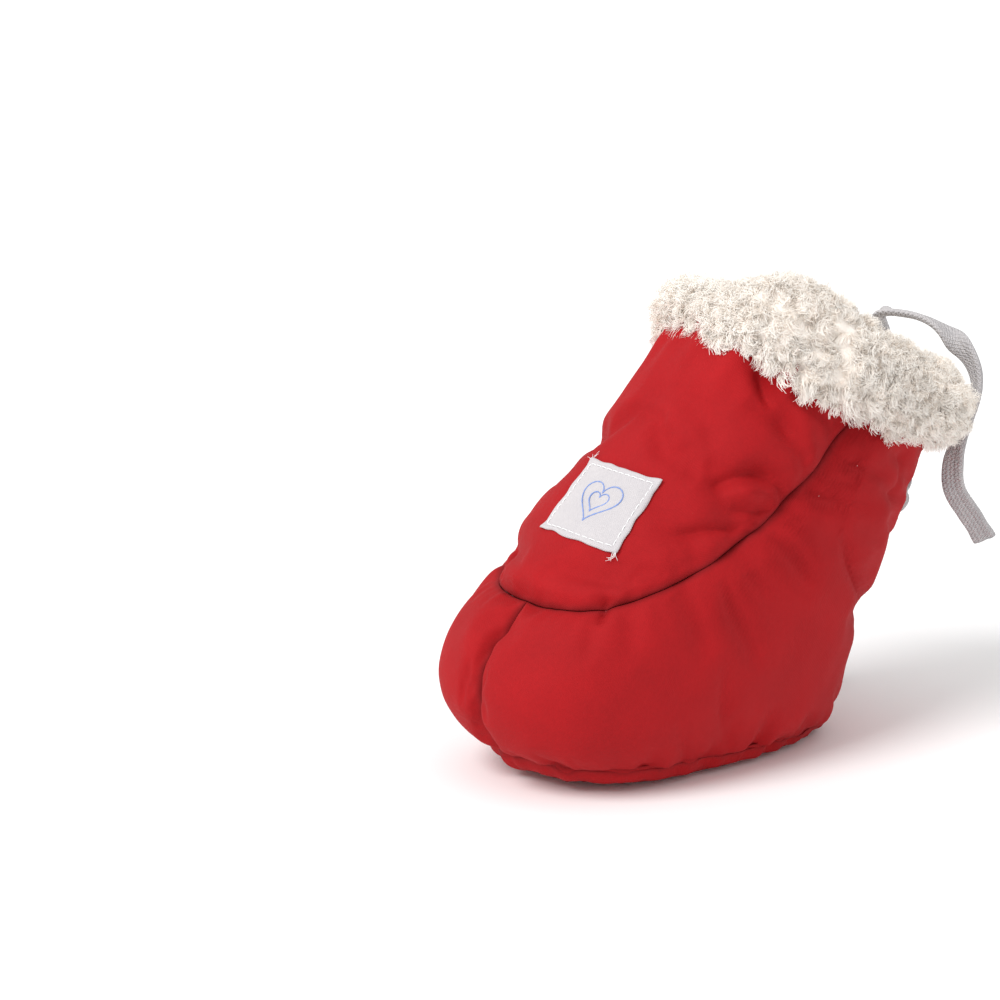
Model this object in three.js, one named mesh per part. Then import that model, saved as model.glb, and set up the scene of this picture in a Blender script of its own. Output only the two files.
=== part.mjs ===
// A padded baby bootie: woven cotton shell, wadding, sherpa lining, turned-down sherpa cuff,
// a label on the vamp and a jersey tie band sewn to the heel. Millimetres, +Z up, toe towards -Y.
import * as THREE from 'three';

// ---------------------------------------------------------------- driving dimensions
const FOOT_LENGTH = 116; // longest ring of the foot, toe to heel
const FOOT_WIDTH = 71; // widest ring of the foot
const SHAFT_LENGTH = 76; // fore and aft across the rim of the shaft
const SHAFT_WIDTH = 61; // side to side across the rim of the shaft
const RIM_HEIGHT = 104; // middle of the rim above the floor
const RIM_SETBACK = 50; // middle of the rim behind the middle of the sole
const RIM_TILT = 24; // the rim falls towards the heel by this angle, degrees
const ANKLE_TILT = 29; // the same where the cuff ends
const TOE_WIDENING = 0.11; // share by which the toe is wider than the heel at the sole
const RING_SQUARENESS = 2.6; // exponent of the superellipse rings

const SHELL_THICKNESS = 1.0;
const WADDING_THICKNESS = 4.6;
const LINING_THICKNESS = 3.4;
const PAD_GAP = 0.75; // clearance between shell, pads and lining, whose facets differ a little
const LAYER_GAP = 0.35; // clearance between other layers that lie on each other
const SEAM_GAP = 0.4; // clearance between panels across a seam
const CORNER_RETREAT = 0.75; // how far deeper layers stay back from the sole's edge, per mm of depth
const SEAM_CHANNEL = 2.4; // width of the channel that the seams keep free between the pads
const THREAD_RADIUS = 0.45;
const THREAD_CLEARANCE = 0.9; // between a thread and the inside of the shell
const THREAD_END_GAP = 1; // between the start and the end of a line of stitches that closes a loop

const VAMP_FRONT = 0.36; // height parameter of the vamp's round front end
const VAMP_TOP_ANGLE = 102; // half angle of the vamp at the rim, degrees
const VAMP_REACH = 95; // the vamp ends here in a short upright seam under the cuff, degrees
const VAMP_CURVE = 3.6; // how late the vamp seam turns upwards

const CUFF_DROP = 0.8; // height parameter of the cuff's free edge
const CUFF_THICKNESS = 8;
const CUFF_GAP = 0.8; // between the cuff and the shell and pads that it covers
const CUFF_RISE = 4.5; // how far the cuff stands above the rim

const LABEL_WIDTH = 25;
const LABEL_HEIGHT = 22.5;
const LABEL_THICKNESS = 0.5;
const LABEL_MIDDLE = 0.507; // height parameter of the label's middle
const LABEL_ANGLE = 9; // angle of the label's middle round the foot, degrees
const LABEL_HEM = 1.6; // stitch line inside the label's edge
const STITCH_RADIUS = 0.25;

const BAND_WIDTH = 6.4;
const BAND_THICKNESS = 2.2;
const BAND_TACK = 0.735; // height parameter of the tack on the heel
const BAND_TACK_LENGTH = 15;
const BAR_TACK_WIDTH = 1.6;

// Rings from the sole's edge up to the rim. Each share is 0 at the foot's own size and 1 at the
// shaft's: rise of the height, way back, way from foot length and width to shaft length and width.
const RINGS = [
  { at: 0.0, rise: 0.04, back: 0.0, length: 0.38, width: 1.05, tilt: 2.5 },
  { at: 0.2, rise: 0.24, back: -0.06, length: 0.0, width: 0.05, tilt: 3 },
  { at: 0.4, rise: 0.457, back: 0.21, length: 0.3, width: 0.0, tilt: 8.5 },
  { at: 0.6, rise: 0.673, back: 0.58, length: 0.72, width: 0.7, tilt: 19 },
  { at: 0.8, rise: 0.875, back: 0.84, length: 0.88, width: 1.1, tilt: ANKLE_TILT },
  { at: 1.0, rise: 1.0, back: 1.0, length: 1.0, width: 1.0, tilt: RIM_TILT },
];
const FLAT_SHARE = 0.64; // share of the sole's radius that lies flat on the floor

const mix = (a, b, share) => a + (b - a) * share;
const radians = (degrees) => (degrees * Math.PI) / 180;

// ---------------------------------------------------------------- the body's outer surface

// Natural cubic spline through (x, y) knots, as a function of x, straight beyond both ends.
function spline(xs, ys) {
  const n = xs.length;
  const bend = new Array(n).fill(0);
  const upper = new Array(n).fill(0);
  for (let i = 1; i < n - 1; i++) {
    const before = xs[i] - xs[i - 1];
    const after = xs[i + 1] - xs[i];
    const slopeChange = (ys[i + 1] - ys[i]) / after - (ys[i] - ys[i - 1]) / before;
    const pivot = 2 * (before + after) - before * upper[i - 1];
    upper[i] = after / pivot;
    bend[i] = (6 * slopeChange - before * bend[i - 1]) / pivot;
  }
  for (let i = n - 2; i > 0; i--) bend[i] -= upper[i] * bend[i + 1];
  return (x) => {
    let i = 0;
    while (i < n - 2 && x > xs[i + 1]) i++;
    const span = xs[i + 1] - xs[i];
    const inside = Math.min(Math.max(x, xs[0]), xs[n - 1]);
    const right = (inside - xs[i]) / span;
    const left = 1 - right;
    const curve = ((left ** 3 - left) * bend[i] + (right ** 3 - right) * bend[i + 1]) * (span * span) / 6;
    const value = left * ys[i] + right * ys[i + 1] + curve;
    const slope = (ys[i + 1] - ys[i]) / span
      + ((1 - 3 * left * left) * bend[i] + (3 * right * right - 1) * bend[i + 1]) * span / 6;
    return value + slope * (x - inside);
  };
}

const ringAt = RINGS.map((ring) => ring.at);
const ringMiddleY = spline(ringAt, RINGS.map((ring) => RIM_SETBACK * ring.back));
const ringMiddleZ = spline(ringAt, RINGS.map((ring) => RIM_HEIGHT * ring.rise));
const ringHalfLength = spline(ringAt, RINGS.map((ring) => mix(FOOT_LENGTH, SHAFT_LENGTH, ring.length) / 2));
const ringHalfWidth = spline(ringAt, RINGS.map((ring) => mix(FOOT_WIDTH, SHAFT_WIDTH, ring.width) / 2));
const ringTilt = spline(ringAt, RINGS.map((ring) => radians(ring.tilt)));

// Point of a ring: up = 0 at the sole's edge and 1 at the rim, angle = 0 at the toe and pi at the heel.
function ringPoint(up, angle) {
  const c = Math.cos(angle);
  const s = Math.sin(angle);
  const reach = (Math.abs(c) ** RING_SQUARENESS + Math.abs(s) ** RING_SQUARENESS) ** (-1 / RING_SQUARENESS);
  const along = c * reach;
  const across = s * reach;
  const tilt = ringTilt(up);
  const half = ringHalfLength(up);
  const widening = 1 + TOE_WIDENING * Math.max(0, 1 - up) * along;
  return new THREE.Vector3(
    ringHalfWidth(up) * across * widening,
    ringMiddleY(up) - half * Math.cos(tilt) * along,
    ringMiddleZ(up) + half * Math.sin(tilt) * along,
  );
}

// The whole outer surface: up from -1 at the middle of the sole, through 0 at its edge, to the rim.
function outerPoint(up, angle) {
  if (up >= 0) return ringPoint(up, angle);
  const radius = 1 + up;
  const edge = ringPoint(0, angle);
  const middle = ringMiddleY(0);
  const lift = Math.max(0, (radius - FLAT_SHARE) / (1 - FLAT_SHARE)) ** 2;
  return new THREE.Vector3(edge.x * radius, middle + (edge.y - middle) * radius, edge.z * lift);
}

const STEP_UP = 0.012;
const STEP_ANGLE = 0.02;

function outerNormal(up, angle) {
  if (up < -0.98) return new THREE.Vector3(0, 0, -1);
  const alongUp = outerPoint(up + STEP_UP, angle).sub(outerPoint(up - STEP_UP, angle));
  const round = outerPoint(up, angle + STEP_ANGLE).sub(outerPoint(up, angle - STEP_ANGLE));
  return round.cross(alongUp).normalize();
}

// A point below (positive depth) or above (negative depth) the outer surface.
function layerPoint(up, angle, depth) {
  return outerPoint(up, angle).addScaledVector(outerNormal(up, angle), -depth);
}

// Millimetres of surface for one unit of each parameter.
function scaleUp(up, angle) {
  return outerPoint(up + STEP_UP, angle).distanceTo(outerPoint(up - STEP_UP, angle)) / (2 * STEP_UP);
}

function scaleRound(up, angle) {
  return outerPoint(up, angle + STEP_ANGLE).distanceTo(outerPoint(up, angle - STEP_ANGLE)) / (2 * STEP_ANGLE);
}

// Height parameter of the vamp seam at an angle from the toe.
function vampSeam(angle) {
  const share = Math.min(1, Math.abs(angle) / radians(VAMP_TOP_ANGLE));
  return VAMP_FRONT + (1 - VAMP_FRONT) * share ** VAMP_CURVE;
}

// Shift of the height parameter that keeps a width of surface free beside the vamp seam.
function besideVampSeam(angle, width) {
  const up = vampSeam(angle);
  const steep = (vampSeam(angle + STEP_ANGLE) - vampSeam(angle - STEP_ANGLE)) / (2 * STEP_ANGLE);
  const rise = (steep * scaleUp(up, angle)) / scaleRound(up, angle);
  return (width * Math.sqrt(1 + rise * rise)) / scaleUp(up, angle);
}

// ---------------------------------------------------------------- solids from grids

function geometryOf(points, faces) {
  const geometry = new THREE.BufferGeometry();
  const numbers = new Float32Array(points.length * 3);
  points.forEach((point, i) => point.toArray(numbers, i * 3));
  geometry.setAttribute('position', new THREE.BufferAttribute(numbers, 3));
  geometry.setIndex(faces);
  geometry.computeVertexNormals();
  return geometry;
}

function signedVolume(points, faces) {
  let volume = 0;
  for (let i = 0; i < faces.length; i += 3) {
    const [a, b, c] = [points[faces[i]], points[faces[i + 1]], points[faces[i + 2]]];
    volume += a.dot(b.clone().cross(c));
  }
  return volume;
}

function closedGeometry(points, faces) {
  if (signedVolume(points, faces) < 0) faces.reverse();
  return geometryOf(points, faces);
}

// A slab: one face at the outer depth, one at the inner depth and four edges. place(u, v) gives
// the height parameter and the angle, with u and v from 0 to 1.
function slab(columns, rows, place, outerDepth, innerDepth) {
  const points = [];
  for (const depth of [outerDepth, innerDepth]) {
    for (let i = 0; i <= columns; i++) {
      for (let j = 0; j <= rows; j++) {
        const [up, angle] = place(i / columns, j / rows);
        points.push(layerPoint(up, angle, depth));
      }
    }
  }
  const inner = (columns + 1) * (rows + 1);
  const at = (i, j) => i * (rows + 1) + j;
  const faces = [];
  for (let i = 0; i < columns; i++) {
    for (let j = 0; j < rows; j++) {
      const quad = [at(i, j), at(i + 1, j), at(i + 1, j + 1), at(i, j + 1)];
      faces.push(quad[0], quad[1], quad[2], quad[0], quad[2], quad[3]);
      faces.push(inner + quad[0], inner + quad[2], inner + quad[1]);
      faces.push(inner + quad[0], inner + quad[3], inner + quad[2]);
    }
  }
  const wall = (a, b) => faces.push(a, inner + b, b, a, inner + a, inner + b);
  for (let i = 0; i < columns; i++) {
    wall(at(i, 0), at(i + 1, 0));
    wall(at(i + 1, rows), at(i, rows));
  }
  for (let j = 0; j < rows; j++) {
    wall(at(columns, j), at(columns, j + 1));
    wall(at(0, j + 1), at(0, j));
  }
  return closedGeometry(points, faces);
}

// A round slab for the sole: rings about its middle.
function soleSlab(columns, rows, edgeInset, outerDepth, innerDepth) {
  const points = [];
  for (const depth of [outerDepth, innerDepth]) {
    points.push(layerPoint(-1, 0, depth));
    for (let j = 1; j <= rows; j++) {
      for (let i = 0; i < columns; i++) {
        const angle = (i / columns) * 2 * Math.PI;
        const edge = -edgeInset / scaleUp(-STEP_UP, angle);
        points.push(layerPoint(mix(-1, edge, (j / rows) ** 0.7), angle, depth));
      }
    }
  }
  const inner = 1 + rows * columns;
  const at = (i, j) => 1 + (j - 1) * columns + (i % columns);
  const faces = [];
  const both = (a, b, c) => faces.push(a, b, c, inner + a, inner + c, inner + b);
  for (let i = 0; i < columns; i++) {
    both(0, at(i, 1), at(i + 1, 1));
    for (let j = 1; j < rows; j++) {
      both(at(i, j), at(i, j + 1), at(i + 1, j + 1));
      both(at(i, j), at(i + 1, j + 1), at(i + 1, j));
    }
    const [a, b] = [at(i, rows), at(i + 1, rows)];
    faces.push(a, inner + a, inner + b, a, inner + b, b);
  }
  return closedGeometry(points, faces);
}

// A closed ring: a section of (height parameter, depth) corners carried round the body.
function ringSolid(columns, section) {
  const points = [];
  for (let i = 0; i < columns; i++) {
    const angle = (i / columns) * 2 * Math.PI;
    for (const corner of section) points.push(corner(angle));
  }
  const count = section.length;
  const faces = [];
  for (let i = 0; i < columns; i++) {
    for (let k = 0; k < count; k++) {
      const a = i * count + k;
      const b = i * count + ((k + 1) % count);
      const c = ((i + 1) % columns) * count + ((k + 1) % count);
      const d = ((i + 1) % columns) * count + k;
      faces.push(a, b, c, a, c, d);
    }
  }
  return closedGeometry(points, faces);
}

// A thread or rod along a list of points, as an extruded polygon.
function tube(points, radius, sides, steps) {
  const path = new THREE.CatmullRomCurve3(points);
  const section = new THREE.Shape();
  for (let k = 0; k < sides; k++) {
    const turn = (k / sides) * 2 * Math.PI;
    const corner = [radius * Math.cos(turn), radius * Math.sin(turn)];
    if (k === 0) section.moveTo(...corner);
    else section.lineTo(...corner);
  }
  return new THREE.ExtrudeGeometry(section, { steps, bevelEnabled: false, extrudePath: path });
}

// ---------------------------------------------------------------- the group and its finishes

const bootie = new THREE.Group();
const FINISHES = {
  cotton: { color: 0xb9202a, roughness: 0.85, metalness: 0 },
  wadding: { color: 0xf4f2ee, roughness: 0.95, metalness: 0 },
  sherpa: { color: 0xece5da, roughness: 1, metalness: 0 },
  label: { color: 0xf3f0ee, roughness: 0.9, metalness: 0 },
  thread: { color: 0xa01c26, roughness: 0.6, metalness: 0 },
  whiteThread: { color: 0xf5f5f5, roughness: 0.6, metalness: 0 },
  jersey: { color: 0xc8c6c6, roughness: 0.9, metalness: 0 },
};

function add(name, geometry, finish) {
  const mesh = new THREE.Mesh(geometry, new THREE.MeshStandardMaterial(FINISHES[finish]));
  mesh.name = name;
  bootie.add(mesh);
}

// ---------------------------------------------------------------- shell, wadding and lining

// All layers are divided alike, so that their faceted faces lie parallel.
const FRONT_COLUMNS = 9;
const BACK_COLUMNS = 7;
const SIDE_ROWS = 9;
const VAMP_ROWS = 6;
const SOLE_COLUMNS = 32;
const SOLE_ROWS = 5;

// Angles of a side panel's columns, from the toe seam to the heel seam. Columns up to the vamp's
// reach share their angles with the vamp, so both edges of the seam follow each other.
function sideAngles(gap) {
  const reach = radians(VAMP_REACH);
  const toe = gap / 2 / scaleRound(0.2, 0);
  const heel = Math.PI - gap / 2 / scaleRound(0.5, Math.PI);
  const beside = reach + gap / scaleRound(1, reach);
  const front = Array.from({ length: FRONT_COLUMNS + 1 }, (_, i) => Math.max(toe, (reach * i) / FRONT_COLUMNS));
  const back = Array.from({ length: BACK_COLUMNS + 1 }, (_, i) => mix(beside, heel, i / BACK_COLUMNS));
  return [...front, ...back];
}

// Each layer has the same four pieces: a sole, two sides and a vamp, with a gap at each seam.
function addLayer(layer) {
  const { suffix, finish, outer, inner, gap } = layer;
  const angles = sideAngles(gap);
  const soleInset = gap / 2 + layer.cornerInset;
  const side = (sign) => (u, v) => {
    const column = Math.round(u * (angles.length - 1));
    const angle = angles[column];
    const bottom = soleInset / scaleUp(0, angle);
    const top = column <= FRONT_COLUMNS ? vampSeam(angle) - besideVampSeam(angle, gap / 2) : 1;
    return [mix(bottom, top, v), sign * angle];
  };
  const vamp = (u, v) => {
    const reach = radians(VAMP_REACH);
    const angle = mix(-reach, reach, u);
    const bottom = vampSeam(angle) + besideVampSeam(angle, gap / 2);
    return [mix(bottom, 1, v), angle];
  };
  add(`sole_${suffix}`, soleSlab(SOLE_COLUMNS, SOLE_ROWS, soleInset, outer, inner), finish);
  add(`left_side_${suffix}`, slab(angles.length - 1, SIDE_ROWS, side(-1), outer, inner), finish);
  add(`right_side_${suffix}`, slab(angles.length - 1, SIDE_ROWS, side(1), outer, inner), finish);
  add(`vamp_${suffix}`, slab(FRONT_COLUMNS * 2, VAMP_ROWS, vamp, outer, inner), finish);
}

const shellInner = SHELL_THICKNESS;
const waddingOuter = shellInner + PAD_GAP;
const waddingInner = waddingOuter + WADDING_THICKNESS;
const liningOuter = waddingInner + PAD_GAP;
const liningInner = liningOuter + LINING_THICKNESS;

const LAYERS = [
  { suffix: 'shell', finish: 'cotton', outer: 0, inner: shellInner, gap: SEAM_GAP, cornerInset: 0 },
  {
    suffix: 'wadding', finish: 'wadding', outer: waddingOuter, inner: waddingInner,
    gap: SEAM_CHANNEL, cornerInset: CORNER_RETREAT * waddingInner,
  },
  {
    suffix: 'lining', finish: 'sherpa', outer: liningOuter, inner: liningInner,
    gap: SEAM_GAP, cornerInset: CORNER_RETREAT * liningInner,
  },
];
LAYERS.forEach(addLayer);

// ---------------------------------------------------------------- sherpa cuff

// The strip turns over the rim: its short inner side meets the top of the lining and its long
// outer side hangs over the shell. The section runs from the inner edge over the top and down.
function addCuff() {
  const seat = (angle) => 1 + CUFF_GAP / scaleUp(1, angle);
  const top = (angle) => 1 + (CUFF_GAP + CUFF_RISE) / scaleUp(1, angle);
  const outside = -CUFF_GAP - CUFF_THICKNESS;
  const middle = mix(outside, liningInner, 0.5);
  const section = [
    (angle) => layerPoint(seat(angle), angle, liningInner),
    (angle) => layerPoint(mix(seat(angle), top(angle), 0.7), angle, mix(liningInner, middle, 0.2)),
    (angle) => layerPoint(top(angle), angle, middle),
    (angle) => layerPoint(mix(seat(angle), top(angle), 0.7), angle, mix(outside, middle, 0.2)),
    (angle) => layerPoint(mix(1, CUFF_DROP, 0.2), angle, outside),
    (angle) => layerPoint(mix(1, CUFF_DROP, 0.8), angle, outside),
    (angle) => layerPoint(CUFF_DROP, angle, mix(outside, -CUFF_GAP, 0.35)),
    (angle) => layerPoint(CUFF_DROP, angle, mix(outside, -CUFF_GAP, 0.75)),
    (angle) => layerPoint(mix(1, CUFF_DROP, 0.85), angle, -CUFF_GAP),
    (angle) => layerPoint(mix(1, CUFF_DROP, 0.3), angle, -CUFF_GAP),
    (angle) => layerPoint(seat(angle), angle, -CUFF_GAP),
  ];
  add('sherpa_cuff', ringSolid(44, section), 'sherpa');
}
addCuff();

// ---------------------------------------------------------------- seam threads

// Every seam's thread runs in the channel between the pads, just under the shell.
const threadDepth = shellInner + THREAD_CLEARANCE + THREAD_RADIUS;

function threadPoints(count, place) {
  return Array.from({ length: count + 1 }, (_, i) => {
    const [up, angle] = place(i / count);
    return layerPoint(up, angle, threadDepth);
  });
}

function addThreads() {
  const reach = radians(VAMP_REACH);
  const clear = 3; // the threads end this far from a crossing seam
  const vampPath = (u) => [vampSeam(mix(-reach, reach, u)), mix(-reach, reach, u)];
  const toeTop = VAMP_FRONT - clear / scaleUp(VAMP_FRONT, 0);
  const toePath = (u) => [mix(clear / scaleUp(0, 0), toeTop, u), 0];
  const heelTop = 1 - clear / scaleUp(1, Math.PI);
  const heelPath = (u) => [mix(clear / scaleUp(0, Math.PI), heelTop, u), Math.PI];
  const soleTurn = 2 * Math.PI - THREAD_END_GAP / scaleRound(0, 0);
  const solePath = (u) => [0, u * soleTurn];
  add('vamp_seam_thread', tube(threadPoints(40, vampPath), THREAD_RADIUS, 6, 44), 'thread');
  add('toe_seam_thread', tube(threadPoints(8, toePath), THREAD_RADIUS, 6, 10), 'thread');
  add('heel_seam_thread', tube(threadPoints(12, heelPath), THREAD_RADIUS, 6, 14), 'thread');
  add('sole_seam_thread', tube(threadPoints(48, solePath), THREAD_RADIUS, 6, 60), 'thread');
}
addThreads();

// ---------------------------------------------------------------- label

// The label lies on the vamp: its place is measured in millimetres from its middle.
function labelPlace(right, upward) {
  const middleAngle = radians(LABEL_ANGLE);
  const up = LABEL_MIDDLE + upward / scaleUp(LABEL_MIDDLE, middleAngle);
  return [up, middleAngle + right / scaleRound(LABEL_MIDDLE, middleAngle)];
}

function addLabel() {
  const bottom = -LAYER_GAP;
  const top = bottom - LABEL_THICKNESS;
  const place = (u, v) => labelPlace((u - 0.5) * LABEL_WIDTH, (v - 0.5) * LABEL_HEIGHT);
  add('label', slab(8, 8, place, top, bottom), 'label');
  const x = LABEL_WIDTH / 2 - LABEL_HEM;
  const y = LABEL_HEIGHT / 2 - LABEL_HEM;
  const corners = [[-x, -y], [x, -y], [x, y], [-x, y]];
  const above = top - LAYER_GAP - STITCH_RADIUS;
  const along = 6;
  const line = [];
  corners.forEach((corner, k) => {
    const next = corners[(k + 1) % corners.length];
    for (let i = 0; i < along; i++) {
      const share = i / along;
      const place = labelPlace(mix(corner[0], next[0], share), mix(corner[1], next[1], share));
      line.push(layerPoint(...place, above));
    }
  });
  const lastPlace = labelPlace(corners[0][0], corners[0][1] + THREAD_END_GAP);
  line.push(layerPoint(...lastPlace, above));
  add('label_stitching', tube(line, STITCH_RADIUS, 6, 60), 'whiteThread');
}
addLabel();

// ---------------------------------------------------------------- tie band

// The middle of the band lies across the heel seam under the cuff, held by a bar tack.
function tackPlace(right, upward) {
  const up = BAND_TACK + upward / scaleUp(BAND_TACK, Math.PI);
  return [up, Math.PI + right / scaleRound(BAND_TACK, Math.PI)];
}

function addTack() {
  const bottom = -LAYER_GAP;
  const top = bottom - BAND_THICKNESS;
  const place = (u, v) => tackPlace((u - 0.5) * BAND_TACK_LENGTH, (v - 0.5) * BAND_WIDTH);
  add('tie_band_middle', slab(8, 3, place, top, bottom), 'jersey');
  const bar = (u, v) => tackPlace((u - 0.5) * BAR_TACK_WIDTH, (v - 0.5) * (BAND_WIDTH - 1));
  const barBottom = top - LAYER_GAP;
  add('bar_tack', slab(2, 4, bar, barBottom - STITCH_RADIUS * 2, barBottom), 'whiteThread');
}
addTack();

// Routes of the two loose ends, from the tack to the cut end, before the part is centred. The long
// end goes up behind the cuff, over its top and down again; the short end hangs to the floor.
const LONG_END = [
  [-9.2, 77.0, 64.4], [-12.4, 79.4, 61.2], [-16.0, 83.6, 60.8], [-18.6, 86.2, 64.8],
  [-19.6, 87.6, 70.6], [-19.6, 90.2, 77.6], [-18.6, 92.8, 85.0], [-16.8, 93.4, 92.6],
  [-14.6, 90.6, 99.6], [-12.0, 86.2, 104.4], [-8.0, 83.6, 106.8], [-2.6, 85.4, 107.2],
  [4.0, 89.6, 105.4], [9.8, 92.8, 101.2], [14.0, 95.4, 95.6], [16.0, 96.0, 89.0],
  [16.0, 94.2, 82.6], [15.0, 92.0, 76.2], [13.6, 91.0, 70.0], [12.6, 91.2, 64.6],
  [12.0, 92.8, 59.4], [12.0, 96.6, 54.2], [12.0, 101.0, 48.8], [12.0, 104.8, 43.8],
];
const SHORT_END = [
  [9.2, 76.8, 64.4], [10.4, 75.8, 62.2], [9.6, 74.4, 58.8], [6.4, 73.0, 55.2],
  [1.8, 72.0, 51.6], [-3.4, 71.2, 47.6], [-8.4, 70.4, 42.8], [-12.6, 69.7, 36.8],
  [-15.4, 69.4, 30.0], [-17.0, 70.0, 23.0], [-18.0, 71.0, 16.0], [-19.4, 73.4, 9.6],
  [-22.4, 77.0, 4.6], [-27.0, 80.0, 1.9], [-33.0, 81.0, 1.3], [-39.0, 79.0, 1.3],
  [-44.0, 75.0, 1.3], [-48.0, 69.5, 1.3],
];

function addLooseEnd(name, route, steps) {
  const points = route.map((point) => new THREE.Vector3(...point));
  add(name, tube(points, BAND_THICKNESS / 2, 8, steps), 'jersey');
}
addLooseEnd('tie_long_end', LONG_END, 44);
addLooseEnd('tie_short_end', SHORT_END, 34);

// ---------------------------------------------------------------- origin

// The origin lies on the floor under the middle of the bootie itself, without the loose ends.
function centre() {
  const box = new THREE.Box3();
  bootie.updateMatrixWorld(true);
  for (const mesh of bootie.children) {
    if (!mesh.name.endsWith('_end')) box.expandByObject(mesh, true);
  }
  const middle = box.getCenter(new THREE.Vector3());
  bootie.children.forEach((mesh) => mesh.position.set(-middle.x, -middle.y, -box.min.z));
}
centre();

export default bootie;
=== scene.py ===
"""Padded baby bootie: red cotton panels over wadding, sherpa lining and cuff, label and tie band.

The bootie is built the way it is sewn. BodyShape is the smooth body that all layers follow. Relief
adds what padding does to it: the fabric dives into every seam, puckers beside it and folds where
the bootie bends. Each class below BodyShape makes one sub-assembly: first its meshes, then its
finish. Lengths are in metres, in the same frame as the CAD part: +Z up, toe towards -Y.
"""
import logging
import math
from dataclasses import dataclass, field
from enum import Enum

import bpy
import numpy as np
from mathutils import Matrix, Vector


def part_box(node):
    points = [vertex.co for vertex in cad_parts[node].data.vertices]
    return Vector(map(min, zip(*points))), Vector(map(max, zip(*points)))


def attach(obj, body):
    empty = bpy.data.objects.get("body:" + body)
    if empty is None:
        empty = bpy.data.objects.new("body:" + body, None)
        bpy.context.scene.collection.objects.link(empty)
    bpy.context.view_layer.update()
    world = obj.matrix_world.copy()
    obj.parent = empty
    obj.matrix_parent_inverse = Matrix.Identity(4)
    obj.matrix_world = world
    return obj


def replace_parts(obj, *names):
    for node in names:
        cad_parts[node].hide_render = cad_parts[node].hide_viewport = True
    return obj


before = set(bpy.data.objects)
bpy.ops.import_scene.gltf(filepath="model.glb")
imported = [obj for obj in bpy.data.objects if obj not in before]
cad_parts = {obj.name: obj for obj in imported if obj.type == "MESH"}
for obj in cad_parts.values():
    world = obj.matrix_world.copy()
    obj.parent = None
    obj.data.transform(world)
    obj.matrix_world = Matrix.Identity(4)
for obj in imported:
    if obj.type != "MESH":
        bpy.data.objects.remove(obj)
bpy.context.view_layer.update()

logging.basicConfig(level=logging.INFO, format="%(message)s")
log = logging.getLogger("bootie")
MM = 0.001
ROOT = "root"


# ------------------------------------------------------------------------------------------ numbers


def smooth(share: np.ndarray) -> np.ndarray:
    """An S-shaped step from 0 to 1 over share 0 to 1."""
    inside = np.clip(share, 0.0, 1.0)
    return inside * inside * (3.0 - 2.0 * inside)


def crowd_ends(count: int, strength: float) -> np.ndarray:
    """Shares from 0 to 1 that lie closer together at both ends.

    Args:
        count: how many shares.
        strength: 0 for even steps, up to 0.95 for very close ones at the ends.

    Returns:
        The shares, rising.
    """
    even = np.linspace(0.0, 1.0, count)
    return even - strength * np.sin(2.0 * np.pi * even) / (2.0 * np.pi)


def unit(vectors: np.ndarray) -> np.ndarray:
    """The same vectors with length 1."""
    return vectors / np.maximum(np.linalg.norm(vectors, axis=-1, keepdims=True), 1e-12)


def soft_noise(points: np.ndarray, wavelength: float, seed: int, waves: int = 14) -> np.ndarray:
    """Smooth noise of about -1 to 1: a sum of plane waves with chance directions and phases.

    Args:
        points: positions, with the coordinates in the last axis.
        wavelength: middle distance between two crests.
        seed: fixes the directions and the phases.
        waves: how many waves are summed.

    Returns:
        One value for each point.
    """
    chance = np.random.default_rng(seed)
    directions = unit(chance.normal(size=(waves, points.shape[-1])))
    lengths = wavelength * chance.uniform(0.7, 1.5, waves)
    phases = chance.uniform(0.0, 2.0 * np.pi, waves)
    total = np.zeros(points.shape[:-1])
    for direction, length, phase in zip(directions, lengths, phases):
        total += np.sin(points @ direction * (2.0 * np.pi / length) + phase)
    return total / math.sqrt(waves) * 0.9


class Spline:
    """Natural cubic spline through knots, straight beyond both ends."""

    def __init__(self, at: list[float], values: list[float]) -> None:
        """Solves for the bend at each knot.

        Args:
            at: the knots' places, rising.
            values: the values there.
        """
        self.at = np.array(at, float)
        self.values = np.array(values, float)
        n = len(at)
        steps = np.diff(self.at)
        system = np.eye(n)
        right = np.zeros(n)
        inner = np.arange(1, n - 1)
        system[inner, inner - 1] = steps[:-1]
        system[inner, inner] = 2.0 * (steps[:-1] + steps[1:])
        system[inner, inner + 1] = steps[1:]
        slopes = np.diff(self.values) / steps
        right[inner] = 6.0 * np.diff(slopes)
        self.bend = np.linalg.solve(system, right)

    def __call__(self, x: np.ndarray) -> np.ndarray:
        """The spline's value at each place.

        Args:
            x: the places.

        Returns:
            The values, in the same layout.
        """
        x = np.asarray(x, float)
        i = np.clip(np.searchsorted(self.at, x, side="right") - 1, 0, len(self.at) - 2)
        span = self.at[i + 1] - self.at[i]
        inside = np.clip(x, self.at[0], self.at[-1])
        right = (inside - self.at[i]) / span
        left = 1.0 - right
        cubic = (left**3 - left) * self.bend[i] + (right**3 - right) * self.bend[i + 1]
        value = left * self.values[i] + right * self.values[i + 1] + cubic * span**2 / 6.0
        turn = (1.0 - 3.0 * left**2) * self.bend[i] + (3.0 * right**2 - 1.0) * self.bend[i + 1]
        slope = (self.values[i + 1] - self.values[i]) / span + turn * span / 6.0
        return value + slope * (x - inside)


# --------------------------------------------------------------------------------------------- body


@dataclass(frozen=True)
class Ring:
    """One level ring of the body. rise, back, length and width are shares of BodyShape's sizes."""

    at: float
    rise: float
    back: float
    length: float
    width: float
    tilt: float


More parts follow.
